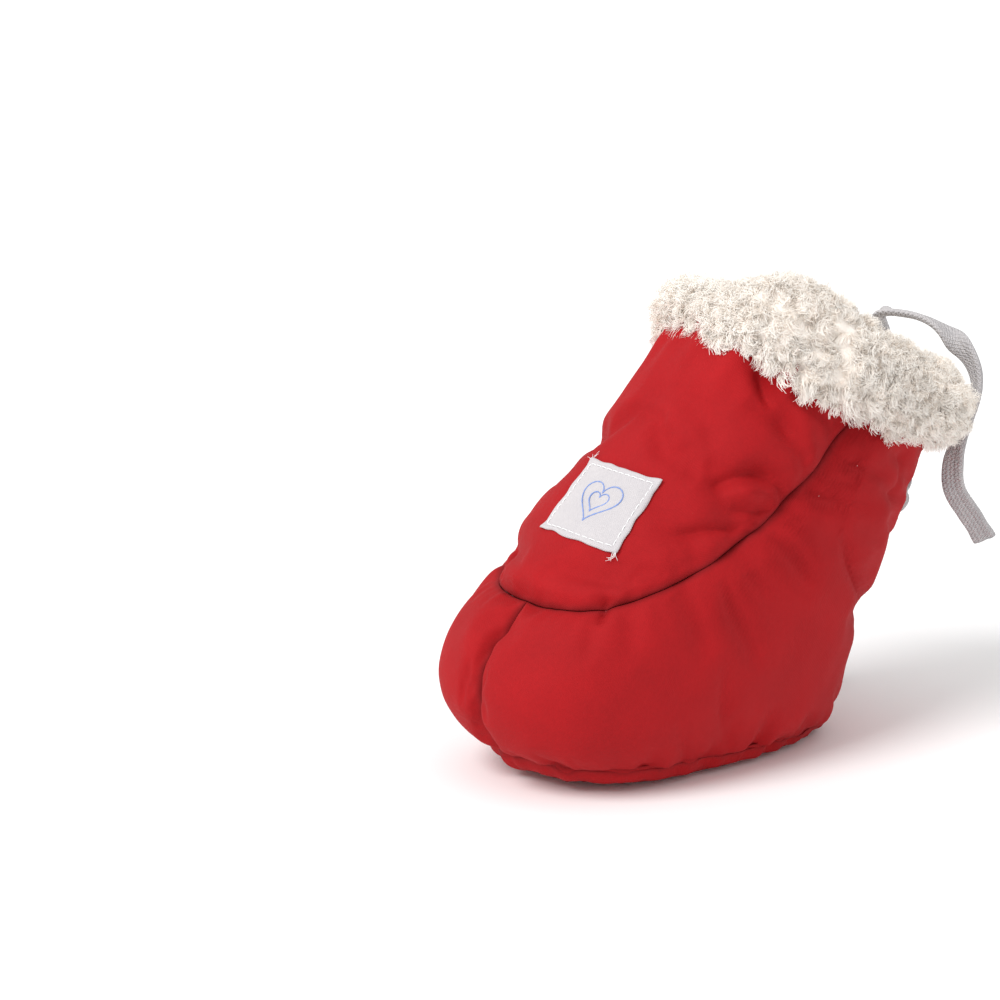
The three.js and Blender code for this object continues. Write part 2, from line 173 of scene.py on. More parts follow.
@dataclass(frozen=True)
class BodyShape:
    """The smooth outer surface that every layer of the bootie follows.

    A point has two parameters. up runs from -1 at the middle of the sole, through 0 at the sole's
    edge, to 1 at the rim. angle is 0 at the toe, pi at the heel and positive on the right side.
    """

    foot_length: float = 116 * MM
    foot_width: float = 71 * MM
    shaft_length: float = 76 * MM
    shaft_width: float = 61 * MM
    rim_height: float = 104 * MM
    rim_setback: float = 50 * MM
    toe_widening: float = 0.11
    squareness: float = 2.6
    flat_share: float = 0.64
    shift_y: float = 0.0
    rings: tuple[Ring, ...] = (
        Ring(0.0, 0.04, 0.0, 0.38, 1.05, 2.5),
        Ring(0.2, 0.24, -0.06, 0.0, 0.05, 3.0),
        Ring(0.4, 0.457, 0.21, 0.3, 0.0, 8.5),
        Ring(0.6, 0.673, 0.58, 0.72, 0.7, 19.0),
        Ring(0.8, 0.875, 0.84, 0.88, 1.1, 29.0),
        Ring(1.0, 1.0, 1.0, 1.0, 1.0, 24.0),
    )

    def __post_init__(self) -> None:
        """Makes the splines through the rings."""
        at = [r.at for r in self.rings]
        lengths = [self.foot_length + (self.shaft_length - self.foot_length) * r.length for r in self.rings]
        widths = [self.foot_width + (self.shaft_width - self.foot_width) * r.width for r in self.rings]
        curves = {
            "middle_y": Spline(at, [self.rim_setback * r.back for r in self.rings]),
            "middle_z": Spline(at, [self.rim_height * r.rise for r in self.rings]),
            "half_length": Spline(at, [length / 2.0 for length in lengths]),
            "half_width": Spline(at, [width / 2.0 for width in widths]),
            "tilt": Spline(at, [math.radians(r.tilt) for r in self.rings]),
        }
        object.__setattr__(self, "curves", curves)

    def point(self, up: np.ndarray, angle: np.ndarray) -> np.ndarray:
        """Points of the outer surface.

        Args:
            up: height parameters.
            angle: angles round the foot.

        Returns:
            The points, with the coordinates in the last axis.
        """
        up, angle = np.broadcast_arrays(np.asarray(up, float), np.asarray(angle, float))
        ring = np.maximum(up, 0.0)
        c, s = np.cos(angle), np.sin(angle)
        n = self.squareness
        reach = (np.abs(c) ** n + np.abs(s) ** n) ** (-1.0 / n)
        along, across = c * reach, s * reach
        tilt = self.curves["tilt"](ring)
        half = self.curves["half_length"](ring)
        widening = 1.0 + self.toe_widening * np.maximum(0.0, 1.0 - ring) * along
        x = self.curves["half_width"](ring) * across * widening
        middle = self.curves["middle_y"](ring)
        y = middle - half * np.cos(tilt) * along
        z = self.curves["middle_z"](ring) + half * np.sin(tilt) * along
        radius = np.minimum(1.0, 1.0 + up)
        outside = np.maximum(0.0, (radius - self.flat_share) / (1.0 - self.flat_share))
        lift = np.where(up >= 0.0, 1.0, outside**2)
        return np.stack([x * radius, middle + (y - middle) * radius + self.shift_y, z * lift], axis=-1)

    def normal(self, up: np.ndarray, angle: np.ndarray) -> np.ndarray:
        """Outward directions of the outer surface.

        Args:
            up: height parameters.
            angle: angles round the foot.

        Returns:
            Directions of length 1.
        """
        along_up = self.point(up + 0.012, angle) - self.point(up - 0.012, angle)
        along_round = self.point(up, angle + 0.02) - self.point(up, angle - 0.02)
        down = np.zeros_like(along_up)
        down[..., 2] = -1.0
        flat = np.broadcast_to(np.asarray(up) < -0.95, along_up.shape[:-1])[..., None]
        return np.where(flat, down, unit(np.cross(along_round, along_up)))

    def layer(self, up: np.ndarray, angle: np.ndarray, depth: np.ndarray) -> np.ndarray:
        """Points at a depth below the outer surface.

        Args:
            up: height parameters.
            angle: angles round the foot.
            depth: metres inwards, negative for outwards.

        Returns:
            The points.
        """
        depth = np.asarray(depth, float)
        return self.point(up, angle) - self.normal(up, angle) * depth[..., None]

    def per_up(self, up: np.ndarray, angle: np.ndarray) -> np.ndarray:
        """Metres of surface for one unit of up."""
        return np.linalg.norm(self.point(up + 0.012, angle) - self.point(up - 0.012, angle), axis=-1) / 0.024

    def per_angle(self, up: np.ndarray, angle: np.ndarray) -> np.ndarray:
        """Metres of surface for one radian of angle."""
        return np.linalg.norm(self.point(up, angle + 0.02) - self.point(up, angle - 0.02), axis=-1) / 0.04

    @staticmethod
    def vamp_edge(angle: np.ndarray) -> np.ndarray:
        """The up parameter of the seam round the vamp, at an angle from the toe."""
        share = np.minimum(1.0, np.abs(angle) / math.radians(102.0))
        return 0.36 + 0.64 * share**3.6


# -------------------------------------------------------------------------------------------- seams


@dataclass(frozen=True)
class Seam:
    """A line on the body where two panels are sewn together, and how the padding bulges beside it."""

    name: str
    up: np.ndarray
    angle: np.ndarray
    valley: float
    shoulder: float
    pucker: float
    pucker_length: float
    seed: int

    def measure(self, line: np.ndarray, points: np.ndarray) -> tuple[np.ndarray, np.ndarray]:
        """Distance of each point from a line, and how far along it the nearest place is.

        Args:
            line: the line's points.
            points: the points to measure, one in each row.

        Returns:
            Distances and stations, in metres.
        """
        steps = np.linalg.norm(np.diff(line, axis=0), axis=1)
        stations = np.concatenate([[0.0], np.cumsum(steps)])
        nearest = np.empty(len(points), int)
        for start in range(0, len(points), 4000):
            part = points[start:start + 4000]
            squares = (part**2).sum(1)[:, None] - 2.0 * part @ line.T + (line**2).sum(1)[None]
            nearest[start:start + 4000] = squares.argmin(1)
        best = np.full(len(points), np.inf)
        place = np.zeros(len(points))
        for shift in (-1, 0):
            i = np.clip(nearest + shift, 0, len(line) - 2)
            span = line[i + 1] - line[i]
            share = ((points - line[i]) * span).sum(1) / np.maximum((span**2).sum(1), 1e-18)
            share = np.clip(share, 0.0, 1.0)
            distance = np.linalg.norm(points - line[i] - span * share[:, None], axis=1)
            closer = distance < best
            best = np.where(closer, distance, best)
            place = np.where(closer, stations[i] + share * steps[i], place)
        return best, place


@dataclass(frozen=True)
class Fold:
    """One crease in the cotton: a line on the body with a depth, a width and the width of its bottom.

    places are (up, angle in degrees). A negative depth is a ridge, and a narrow bottom a sharp crease.
    """

    places: tuple[tuple[float, float], ...]
    depth: float
    width: float
    bottom: float = 0.5 * MM

    def line(self, body: BodyShape) -> np.ndarray:
        """Points along the crease on the smooth body.

        Args:
            body: the body.

        Returns:
            The points, one in each row.
        """
        at = np.linspace(0.0, 1.0, len(self.places))
        share = np.linspace(0.0, 1.0, 36)
        up = Spline(list(at), [place[0] for place in self.places])(share)
        angle = Spline(list(at), [math.radians(place[1]) for place in self.places])(share)
        return body.point(up, angle)

    def shape(self, distance: np.ndarray) -> np.ndarray:
        """Share of the depth at a distance from the line."""
        return np.exp((self.bottom - np.hypot(distance, self.bottom)) / self.width)


FOLDS = (
    Fold(((0.69, -14), (0.69, 18), (0.655, 34), (0.587, 46)), 2.3 * MM, 3.4 * MM, 2.0 * MM),
    Fold(((0.81, 40), (0.783, 43), (0.753, 47), (0.715, 54)), 3.1 * MM, 1.4 * MM, 0.4 * MM),
    Fold(((0.72, 43), (0.70, 54), (0.695, 66)), 2.0 * MM, 2.4 * MM, 1.2 * MM),
    Fold(((0.77, 57), (0.75, 72), (0.735, 89)), 2.2 * MM, 2.6 * MM, 1.2 * MM),
    Fold(((0.572, 45), (0.60, 53), (0.612, 62), (0.588, 74)), 3.9 * MM, 2.2 * MM, 0.8 * MM),
    Fold(((0.566, 50), (0.582, 61), (0.574, 72)), -1.8 * MM, 1.8 * MM, 1.2 * MM),
    Fold(((0.550, 55), (0.552, 65), (0.563, 72)), 3.0 * MM, 1.6 * MM, 0.6 * MM),
    Fold(((0.495, 43), (0.52, 60), (0.514, 70)), 3.1 * MM, 1.8 * MM, 0.6 * MM),
    Fold(((0.44, 26), (0.437, 46)), 1.4 * MM, 2.6 * MM, 1.2 * MM),
    Fold(((0.392, 34), (0.362, 37), (0.345, 38)), 3.2 * MM, 1.0 * MM, 0.3 * MM),
    Fold(((0.41, -44), (0.400, -33), (0.372, -20)), 3.8 * MM, 1.8 * MM, 0.5 * MM),
    Fold(((0.54, 101), (0.43, 119), (0.34, 138)), 2.4 * MM, 1.8 * MM, 0.5 * MM),
    Fold(((0.27, 81), (0.15, 86), (0.04, 88)), 1.5 * MM, 1.8 * MM, 0.8 * MM),
    Fold(((0.33, 122), (0.32, 138), (0.33, 156)), 2.6 * MM, 3.4 * MM, 1.2 * MM),
    Fold(((0.60, -48), (0.586, -32), (0.585, -18)), 2.6 * MM, 2.8 * MM, 1.2 * MM),
    Fold(((0.76, -40), (0.70, -52), (0.64, -58)), 2.2 * MM, 2.4 * MM, 1.0 * MM),
    Fold(((0.60, -50), (0.56, -62), (0.55, -72)), 2.7 * MM, 2.0 * MM, 0.7 * MM),
    Fold(((0.78, 118), (0.70, 124), (0.62, 120)), 1.8 * MM, 2.2 * MM, 1.0 * MM),
    Fold(((0.50, -150), (0.44, -130), (0.42, -108)), 2.7 * MM, 3.0 * MM, 0.8 * MM),
    Fold(((0.72, -122), (0.64, -138), (0.60, -155)), 2.2 * MM, 2.6 * MM, 0.9 * MM),
    Fold(((0.03, -70), (0.12, -72), (0.22, -76)), 1.8 * MM, 2.0 * MM, 0.8 * MM),
    Fold(((0.03, -122), (0.13, -118), (0.24, -110)), 2.0 * MM, 2.2 * MM, 0.8 * MM),
)


@dataclass
class PaddingCloth:
    """Cloth simulation of the whole shell, sewn down at its seams and pushed out by the wadding.

    The cloth is a grid over the body. Seams are pinned, the rest is cut a little too large, so it
    swells between the seams and throws small folds where the seams hold it back.
    """

    body: BodyShape
    scale: float = 10.0
    frames: int = 22
    spare: float = 0.035
    pressure: float = 4.0
    limit: float = 3.2 * MM
    evening: int = 60
    kept_out: float = 0.85
    strength: float = 1.5

    def run(self, held: np.ndarray, up: np.ndarray, angle: np.ndarray) -> np.ndarray:
        """Simulates the cloth.

        Args:
            held: pin weight of each grid point, rows by columns.
            up: the rows' parameters.
            angle: the columns' parameters, without the repeated last one.

        Returns:
            How far each grid point moved, rows by columns by 3.
        """
        start = self.body.point(up[:, None], angle[None, :])
        rows, columns = start.shape[:2]
        mesh = bpy.data.meshes.new("padding_cloth")
        quads = grid_quads(rows, columns, wrap=True)
        mesh.from_pydata((start * self.scale).reshape(-1, 3).tolist(), [], quads.tolist())
        cloth = bpy.data.objects.new("padding_cloth", mesh)
        bpy.context.scene.collection.objects.link(cloth)
        group = cloth.vertex_groups.new(name="seams")
        flat = held.ravel()
        for weight in np.unique(np.round(flat, 2)):
            members = np.nonzero(np.round(flat, 2) == weight)[0]
            if weight > 0.0:
                group.add(members.tolist(), float(weight), "REPLACE")
        modifier = cloth.modifiers.new("cloth", "CLOTH")
        settings = modifier.settings
        settings.quality = 6
        settings.mass = 0.12
        settings.tension_stiffness = 20.0
        settings.compression_stiffness = 20.0
        settings.shear_stiffness = 8.0
        settings.bending_stiffness = 2.0
        settings.tension_damping = 5.0
        settings.compression_damping = 5.0
        settings.air_damping = 1.0
        settings.vertex_group_mass = "seams"
        settings.shrink_min = -self.spare
        settings.use_pressure = True
        settings.uniform_pressure_force = self.pressure
        settings.effector_weights.gravity = 0.0
        modifier.collision_settings.use_collision = False
        modifier.collision_settings.use_self_collision = False
        modifier.point_cache.frame_start = 1
        modifier.point_cache.frame_end = self.frames
        scene = bpy.context.scene
        for number in range(1, self.frames + 1):
            scene.frame_set(number)
        evaluated = cloth.evaluated_get(bpy.context.evaluated_depsgraph_get())
        end = np.empty(rows * columns * 3, np.float32)
        evaluated.data.vertices.foreach_get("co", end)
        moved = end.reshape(rows, columns, 3) / self.scale - start
        scene.frame_set(1)
        bpy.data.objects.remove(cloth, do_unlink=True)
        bpy.data.meshes.remove(mesh)
        even = moved
        for _ in range(self.evening):
            even = (np.roll(even, 1, 1) + 2.0 * even + np.roll(even, -1, 1)) / 4.0
            tall = np.concatenate([even[:1], even, even[-1:]])
            even = (tall[:-2] + 2.0 * tall[1:-1] + tall[2:]) / 4.0
        moved = (moved - self.kept_out * even) * self.strength
        length = np.linalg.norm(moved, axis=-1, keepdims=True)
        log.info("padding cloth: %d points, moved up to %.2f mm", rows * columns, length.max() / MM)
        return moved * np.minimum(1.0, self.limit / np.maximum(length, 1e-9))


@dataclass
class Relief:
    """What the padding does to the smooth body: seam valleys, puckers, folds and swelling."""

    body: BodyShape
    seams: list[Seam] = field(default_factory=list)

    def __post_init__(self) -> None:
        """Lays the seams and the folds on the body, and simulates the padding."""
        turn = np.linspace(-np.pi, np.pi, 640)
        reach = np.radians(np.linspace(-101.9, 101.9, 520))
        height = np.linspace(0.0, 1.0, 200)
        self.seams = [
            Seam("vamp", self.body.vamp_edge(reach), reach, 2.7 * MM, 8.5 * MM, 0.42 * MM, 5.5 * MM, 11),
            Seam("toe", height * 0.36, height * 0.0, 3.3 * MM, 8.0 * MM, 0.30 * MM, 7.0 * MM, 12),
            Seam("heel", height, height * 0.0 + np.pi, 2.0 * MM, 8.0 * MM, 0.45 * MM, 6.0 * MM, 13),
            Seam("sole", turn * 0.0, turn, 2.3 * MM, 8.0 * MM, 0.95 * MM, 9.5 * MM, 14),
        ]
        self.lines = [self.body.point(s.up, s.angle) for s in self.seams]
        self.grid_up = np.concatenate([np.linspace(-0.8, 0.0, 16)[:-1], np.linspace(0.0, 1.0, 64)])
        self.grid_angle = np.linspace(-np.pi, np.pi, 177)[:-1]
        self.moved = np.zeros((len(self.grid_up), len(self.grid_angle), 3))
        self.moved = self.simulate()

    def simulate(self) -> np.ndarray:
        """Runs the padding cloth with its seams held."""
        points = self.body.point(self.grid_up[:, None], self.grid_angle[None, :]).reshape(-1, 3)
        nearest = np.full(len(points), np.inf)
        for seam, line in zip(self.seams, self.lines):
            nearest = np.minimum(nearest, seam.measure(line, points)[0])
        held = 1.0 - smooth((nearest - 1.2 * MM) / (2.0 * MM))
        up = np.broadcast_to(self.grid_up[:, None], (len(self.grid_up), len(self.grid_angle))).ravel()
        held = np.where((up < -0.12) | (up > 0.93), 1.0, held)
        return PaddingCloth(self.body).run(held.reshape(len(self.grid_up), -1), self.grid_up, self.grid_angle)

    def swelling(self, up: np.ndarray, angle: np.ndarray) -> np.ndarray:
        """The simulated movement at any place, by smooth interpolation in the grid.

        Args:
            up: height parameters.
            angle: angles round the foot.

        Returns:
            Movements in metres, with the coordinates in the last axis.
        """
        rows, columns = self.moved.shape[:2]
        r = np.interp(up, self.grid_up, np.arange(rows))
        c = (angle + np.pi) / (2.0 * np.pi) * columns
        r0, c0 = np.floor(r).astype(int), np.floor(c).astype(int)
        total = np.zeros(up.shape + (3,))
        for i in range(-1, 3):
            for j in range(-1, 3):
                weight = self.bell(r - r0 - i) * self.bell(c - c0 - j)
                row = np.clip(r0 + i, 0, rows - 1)
                total += self.moved[row, (c0 + j) % columns] * weight[..., None]
        return total

    @staticmethod
    def bell(distance: np.ndarray) -> np.ndarray:
        """Weight of a grid point: a cubic B-spline.

        Args:
            distance: distance in grid steps.

        Returns:
            The weights.
        """
        d = np.abs(distance)
        near = 2.0 / 3.0 - d**2 + d**3 / 2.0
        far = np.maximum(0.0, 2.0 - d) ** 3 / 6.0
        return np.where(d < 1.0, near, far)

    def heights(self, up: np.ndarray, angle: np.ndarray,
                detail: float = 1.0) -> tuple[np.ndarray, np.ndarray]:
        """Height above the smooth body, and nearness to a seam.

        Args:
            up: parameters of the places.
            angle: the same.
            detail: share of puckers and small folds that is kept.

        Returns:
            Heights in metres, and a nearness of 1 at a seam and 0 away from it.
        """
        shape = up.shape
        points = self.body.point(up, angle).reshape(-1, 3)
        flat_up, flat_angle = up.ravel(), angle.ravel()
        pillow = np.ones(len(points))
        depth = np.zeros(len(points))
        height = np.zeros(len(points))
        nearness = np.zeros(len(points))
        for seam, line in zip(self.seams, self.lines):
            distance, station = seam.measure(line, points)
            inside = np.clip(distance / seam.shoulder, 0.0, 1.0)
            rise = np.sqrt(np.maximum(0.0, 1.0 - (1.0 - inside) ** 2))
            uneven = 1.0 + 0.22 * soft_noise(station[:, None] / MM, 17.0, seam.seed)
            share = 0.3 + 0.7 * smooth((flat_up - 0.02) / 0.26) if seam.name == "toe" else 1.0
            depth = np.maximum(depth, seam.valley * uneven * share * (1.0 - rise))
            pillow *= rise
            nearness = np.maximum(nearness, np.exp(-(distance / (1.1 * MM)) ** 2))
            places = station[:, None]
            if seam.name != "toe":
                side = np.sign(flat_up - np.interp(flat_angle, seam.angle, seam.up))
                places = np.stack([station, side * 40 * MM], -1)
            waves = soft_noise(places, seam.pucker_length, seam.seed + 40)
            fade = np.exp(-distance / (4.2 * MM)) * smooth(distance / (1.6 * MM))
            height += detail * seam.pucker * waves * fade
        height -= depth
        for crease in FOLDS:
            line = crease.line(self.body)
            distance, station = self.seams[0].measure(line, points)
            length = np.linalg.norm(np.diff(line, axis=0), axis=1).sum()
            taper = np.maximum(0.2, np.sin(np.pi * np.clip(station / length, 0.0, 1.0)) ** 0.6)
            height -= crease.depth * crease.shape(distance) * taper * (0.45 + 0.55 * pillow)
        height -= 3.2 * MM * smooth((flat_up - 0.55) / 0.3) * np.exp(-((flat_angle + 0.15) / 0.75) ** 2)
        gathers = soft_noise(np.stack([flat_angle * 32 * MM, flat_up * 20 * MM], -1), 8.5 * MM, 77)
        under_cuff = np.exp(-np.maximum(0.0, 0.79 - flat_up) / 0.075)
        height += detail * 0.75 * MM * gathers * under_cuff * pillow
        height += detail * 0.30 * MM * soft_noise(points, 27 * MM, 78) * pillow
        height += detail * 0.10 * MM * soft_noise(points, 10 * MM, 79) * pillow
        on_floor = smooth((-flat_up - 0.05) / 0.2)
        height = np.where(flat_up < 0.0, height * (1.0 - on_floor), height)
        return height.reshape(shape), nearness.reshape(shape)

    def surface(self, up: np.ndarray, angle: np.ndarray, under: float, detail: float = 1.0) -> np.ndarray:
        """Points at a depth under the padded surface, and never below the floor.

        Args:
            up: height parameters.
            angle: angles round the foot.
            under: the depth in metres.
            detail: share of puckers and small folds that is kept.

        Returns:
            The points.
        """
        height, _ = self.heights(up, angle, detail)
        points = self.body.layer(up, angle, under - height) + self.swelling(up, angle)
        points[..., 2] = np.maximum(points[..., 2], 0.1 * MM)
        return points


# ------------------------------------------------------------------------------------------- meshes


@dataclass
class Surface:
    """A mesh in the making: points, faces of four and three corners, and values at the points."""

    points: np.ndarray
    quads: np.ndarray
    triangles: np.ndarray = field(default_factory=lambda: np.zeros((0, 3), int))
    uv: np.ndarray | None = None
    values: dict[str, np.ndarray] = field(default_factory=dict)

    def to_object(self, name: str, slot: str, finish: "Finish", faceted: bool = False) -> bpy.types.Object:
        """Makes the Blender object with its finish, on the root body.

        Args:
            name: the object's name.
            slot: the material slot of the part; not used.
            finish: its finish.
            faceted: True leaves the faces flat. Smooth shading darkens rods with three sides.

        Returns:
            The object.
        """
        mesh = bpy.data.meshes.new(name)
        corners = np.concatenate([self.quads.ravel(), self.triangles.ravel()]).astype(np.int32)
        sizes = np.repeat([4, 3], [len(self.quads), len(self.triangles)]).astype(np.int32)
        mesh.vertices.add(len(self.points))
        mesh.vertices.foreach_set("co", self.points.astype(np.float32).ravel())
        mesh.loops.add(len(corners))
        mesh.loops.foreach_set("vertex_index", corners)
        mesh.polygons.add(len(sizes))
        mesh.polygons.foreach_set("loop_start", np.concatenate([[0], np.cumsum(sizes)[:-1]]).astype(np.int32))
        mesh.polygons.foreach_set("loop_total", sizes)
        mesh.polygons.foreach_set("use_smooth", np.full(len(sizes), not faceted))
        if self.uv is not None:
            layer = mesh.uv_layers.new(name="UVMap")
            layer.data.foreach_set("uv", self.uv[corners].astype(np.float32).ravel())
        for key, value in self.values.items():
            attribute = mesh.attributes.new(key, "FLOAT", "POINT")
            attribute.data.foreach_set("value", value.astype(np.float32).ravel())
        mesh.update(calc_edges=True)
        mesh.validate()
        piece = bpy.data.objects.new(name, mesh)
        bpy.context.scene.collection.objects.link(piece)
        mesh.materials.append(finish.material())
        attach(piece, ROOT)
        log.info("%s: %d points, %d faces", name, len(self.points), len(sizes))
        return piece


def grid_quads(rows: int, columns: int, wrap: bool = False, start: int = 0) -> np.ndarray:
    """Faces of a grid of points, each as four corners with the columns first.

    Args:
        rows: how many rows of points.
        columns: how many points in a row.
        wrap: True joins the last column to the first.
        start: index of the first point.

    Returns:
        One row of four indices for each face.
    """
    last = columns if wrap else columns - 1
    i, j = np.meshgrid(np.arange(rows - 1), np.arange(last), indexing="ij")
    k = (j + 1) % columns
    quads = np.stack([i * columns + j, i * columns + k, (i + 1) * columns + k, (i + 1) * columns + j], -1)
    return quads.reshape(-1, 4) + start


def closed_sheet(outer: np.ndarray, inner: np.ndarray, uv: np.ndarray | None = None,
                 values: dict[str, np.ndarray] | None = None) -> Surface:
    """A closed solid between two grids of points with the same layout.

    Args:
        outer: rows by columns by 3, facing outwards.
        inner: the same for the inside.
        uv: rows by columns by 2.
        values: values at the grid points.

    Returns:
        The solid, with both grids joined round their rim.
    """
    rows, columns = outer.shape[:2]
    count = rows * columns
    top = grid_quads(rows, columns)
    bottom = grid_quads(rows, columns, start=count)[:, ::-1]
    index = np.arange(count).reshape(rows, columns)
    rim = np.concatenate([index[0, :-1], index[:-1, -1], index[-1, :0:-1], index[:0:-1, 0]])
    following = np.roll(rim, -1)
    side = np.stack([rim, rim + count, following + count, following], -1)
    both = None if uv is None else np.concatenate([uv.reshape(-1, 2)] * 2)
    twice = {key: np.concatenate([v.ravel()] * 2) for key, v in (values or {}).items()}
    points = np.concatenate([outer.reshape(-1, 3), inner.reshape(-1, 3)])
    return Surface(points, np.concatenate([top, bottom, side]), uv=both, values=twice)


def closed_disc(outer: np.ndarray, inner: np.ndarray, uv: np.ndarray,
                values: dict[str, np.ndarray] | None = None) -> Surface:
    """A closed solid between two round grids, whose first rows shrink to a middle point each.

    Args:
        outer: rows by columns by 3, from the middle outwards, on the outside.
        inner: the same for the inside.
        uv: rows by columns by 2.
        values: values at the grid points.

    Returns:
        The solid.
    """
    rows, columns = outer.shape[:2]
    count = rows * columns
    top = grid_quads(rows, columns, wrap=True)
    bottom = grid_quads(rows, columns, wrap=True, start=count)[:, ::-1]
    j = np.arange(columns)
    k = (j + 1) % columns
    edge = (rows - 1) * columns
    side = np.stack([edge + j, edge + j + count, edge + k + count, edge + k], -1)[:, ::-1]
    caps = np.concatenate([
        np.stack([np.full(columns, 2 * count), k, j], -1),
        np.stack([np.full(columns, 2 * count + 1), j + count, k + count], -1),
    ])[:, ::-1]
    points = np.concatenate([
        outer.reshape(-1, 3), inner.reshape(-1, 3), outer[0].mean(0)[None], inner[0].mean(0)[None],
    ])
    middle = uv[0].mean(0)[None]
    both = np.concatenate([uv.reshape(-1, 2), uv.reshape(-1, 2), middle, middle])
    twice = {key: np.concatenate([v.ravel(), v.ravel(), [0.0, 0.0]]) for key, v in (values or {}).items()}
    return Surface(points, np.concatenate([top, bottom, side]), caps, both, twice)


def curve_frames(line: np.ndarray, across: np.ndarray | None = None) -> tuple[np.ndarray, np.ndarray]:
    """Sideways and upwards directions along a line, turning as little as they can.

    Args:
        line: the line's points.
        across: a sideways direction to keep near to, at each point.

    Returns:
        The sideways and the upwards directions.
    """
    forwards = unit(np.gradient(line, axis=0))
    if across is None:
        across = np.empty_like(line)
        first = np.cross(forwards[0], [0.3, 0.2, 0.93])
        across[0] = unit(first)
        for i in range(1, len(line)):
            across[i] = unit(across[i - 1] - forwards[i] * (across[i - 1] @ forwards[i]))
    else:
        across = unit(across - forwards * (across * forwards).sum(-1, keepdims=True))
    return across, np.cross(forwards, across)


def swept(line: np.ndarray, section: np.ndarray, across: np.ndarray | None = None,
          share: np.ndarray | None = None) -> Surface:
    """A closed solid of one section moved along a line, with rounded closed ends.

    Args:
        line: the middle line's points.
        section: the section's points as (sideways, upwards), anticlockwise seen from the start.
        across: sideways direction at each point of the line.
        share: size of the section at each point of the line.

    Returns:
        The solid.
    """
    sideways, upwards = curve_frames(line, across)
    share = np.ones(len(line)) if share is None else share
    flat = section[None, :, :] * share[:, None, None]
    rings = line[:, None] + sideways[:, None] * flat[..., :1] + upwards[:, None] * flat[..., 1:]
    rows, columns = rings.shape[:2]
    count = rows * columns
    j = np.arange(columns)
    k = (j + 1) % columns
    last = (rows - 1) * columns
    caps = np.concatenate([
        np.stack([np.full(columns, count), k, j], -1),
        np.stack([np.full(columns, count + 1), last + j, last + k], -1),
    ])
    points = np.concatenate([rings.reshape(-1, 3), line[:1], line[-1:]])
    around = np.concatenate([[0.0], np.cumsum(np.linalg.norm(np.diff(section, axis=0), axis=1))])
    along = np.concatenate([[0.0], np.cumsum(np.linalg.norm(np.diff(line, axis=0), axis=1))])
    uv = np.stack(np.broadcast_arrays(around[None, :], along[:, None]), -1).reshape(-1, 2)
    uv = np.concatenate([uv, [[0.0, 0.0]], [[0.0, along[-1]]]])
    return Surface(points, grid_quads(rows, columns, wrap=True), caps, uv)


def merged(parts: list[Surface]) -> Surface:
    """Several surfaces as one."""
    starts = np.cumsum([0] + [len(p.points) for p in parts[:-1]])
    return Surface(
        np.concatenate([p.points for p in parts]),
        np.concatenate([p.quads + s for p, s in zip(parts, starts)]),
        np.concatenate([p.triangles + s for p, s in zip(parts, starts)]),
        None if parts[0].uv is None else np.concatenate([p.uv for p in parts]),
        {key: np.concatenate([p.values[key] for p in parts]) for key in parts[0].values},
    )


def round_section(radius: float, sides: int) -> np.ndarray:
    """Points of a circle."""
    turn = np.arange(sides) * 2.0 * np.pi / sides
    return np.stack([np.cos(turn), np.sin(turn)], -1) * radius


def curve_through(knots: np.ndarray, count: int) -> np.ndarray:
    """Evenly spaced points on a smooth curve through knots.

    Args:
        knots: the points that the curve passes.
        count: how many points it gets.

    Returns:
        The points, one in each row.
    """
    lengths = np.concatenate([[0.0], np.cumsum(np.linalg.norm(np.diff(knots, axis=0), axis=1))])
    fine = np.linspace(0.0, lengths[-1], count * 6)
    dense = np.stack([Spline(list(lengths), list(knots[:, axis]))(fine) for axis in range(3)], -1)
    walked = np.concatenate([[0.0], np.cumsum(np.linalg.norm(np.diff(dense, axis=0), axis=1))])
    even = np.linspace(0.0, walked[-1], count)
    return np.stack([np.interp(even, walked, dense[:, axis]) for axis in range(3)], -1)


# ----------------------------------------------------------------------------------------- finishes


def linear(hex_colour: str) -> tuple[float, float, float, float]:
    """A colour in the linear values that Blender shades with.

    Args:
        hex_colour: six sRGB hex digits.

    Returns:
        Red, green, blue and an opacity of 1.
    """
    parts = [int(hex_colour[i:i + 2], 16) / 255.0 for i in (0, 2, 4)]
    steps = [p / 12.92 if p <= 0.04045 else ((p + 0.055) / 1.055) ** 2.4 for p in parts]
    return (*steps, 1.0)


def add_node(tree: bpy.types.NodeTree, kind: str, settings: dict | None = None,
             **inputs: object) -> bpy.types.Node:
    """Adds a shader node.

    Args:
        tree: the material's node tree.
        kind: the node's type name.
        settings: properties of the node.
        inputs: for each input, by its name with _ for a blank, a value or the socket that feeds it.

    Returns:
        The node.
    """
    node = tree.nodes.new(kind)
    for key, value in (settings or {}).items():
        setattr(node, key, value)
    for key, value in inputs.items():
        name = key.replace("_", " ")
        socket = node.inputs[int(name[1:])] if name[0] == "n" and name[1:].isdigit() else node.inputs[name]
        if isinstance(value, bpy.types.NodeSocket):
            tree.links.new(value, socket)
        else:
            socket.default_value = value
    return node


def calculate(tree: bpy.types.NodeTree, operation: str, *numbers: object) -> bpy.types.NodeSocket:
    """Adds a Math node.

    Args:
        tree: the material's node tree.
        operation: the node's operation.
        numbers: the node's inputs in order, each a value or a socket.

    Returns:
        The result's socket.
    """
    inputs = {f"n{place}": number for place, number in enumerate(numbers)}
    return add_node(tree, "ShaderNodeMath", {"operation": operation}, **inputs).outputs[0]


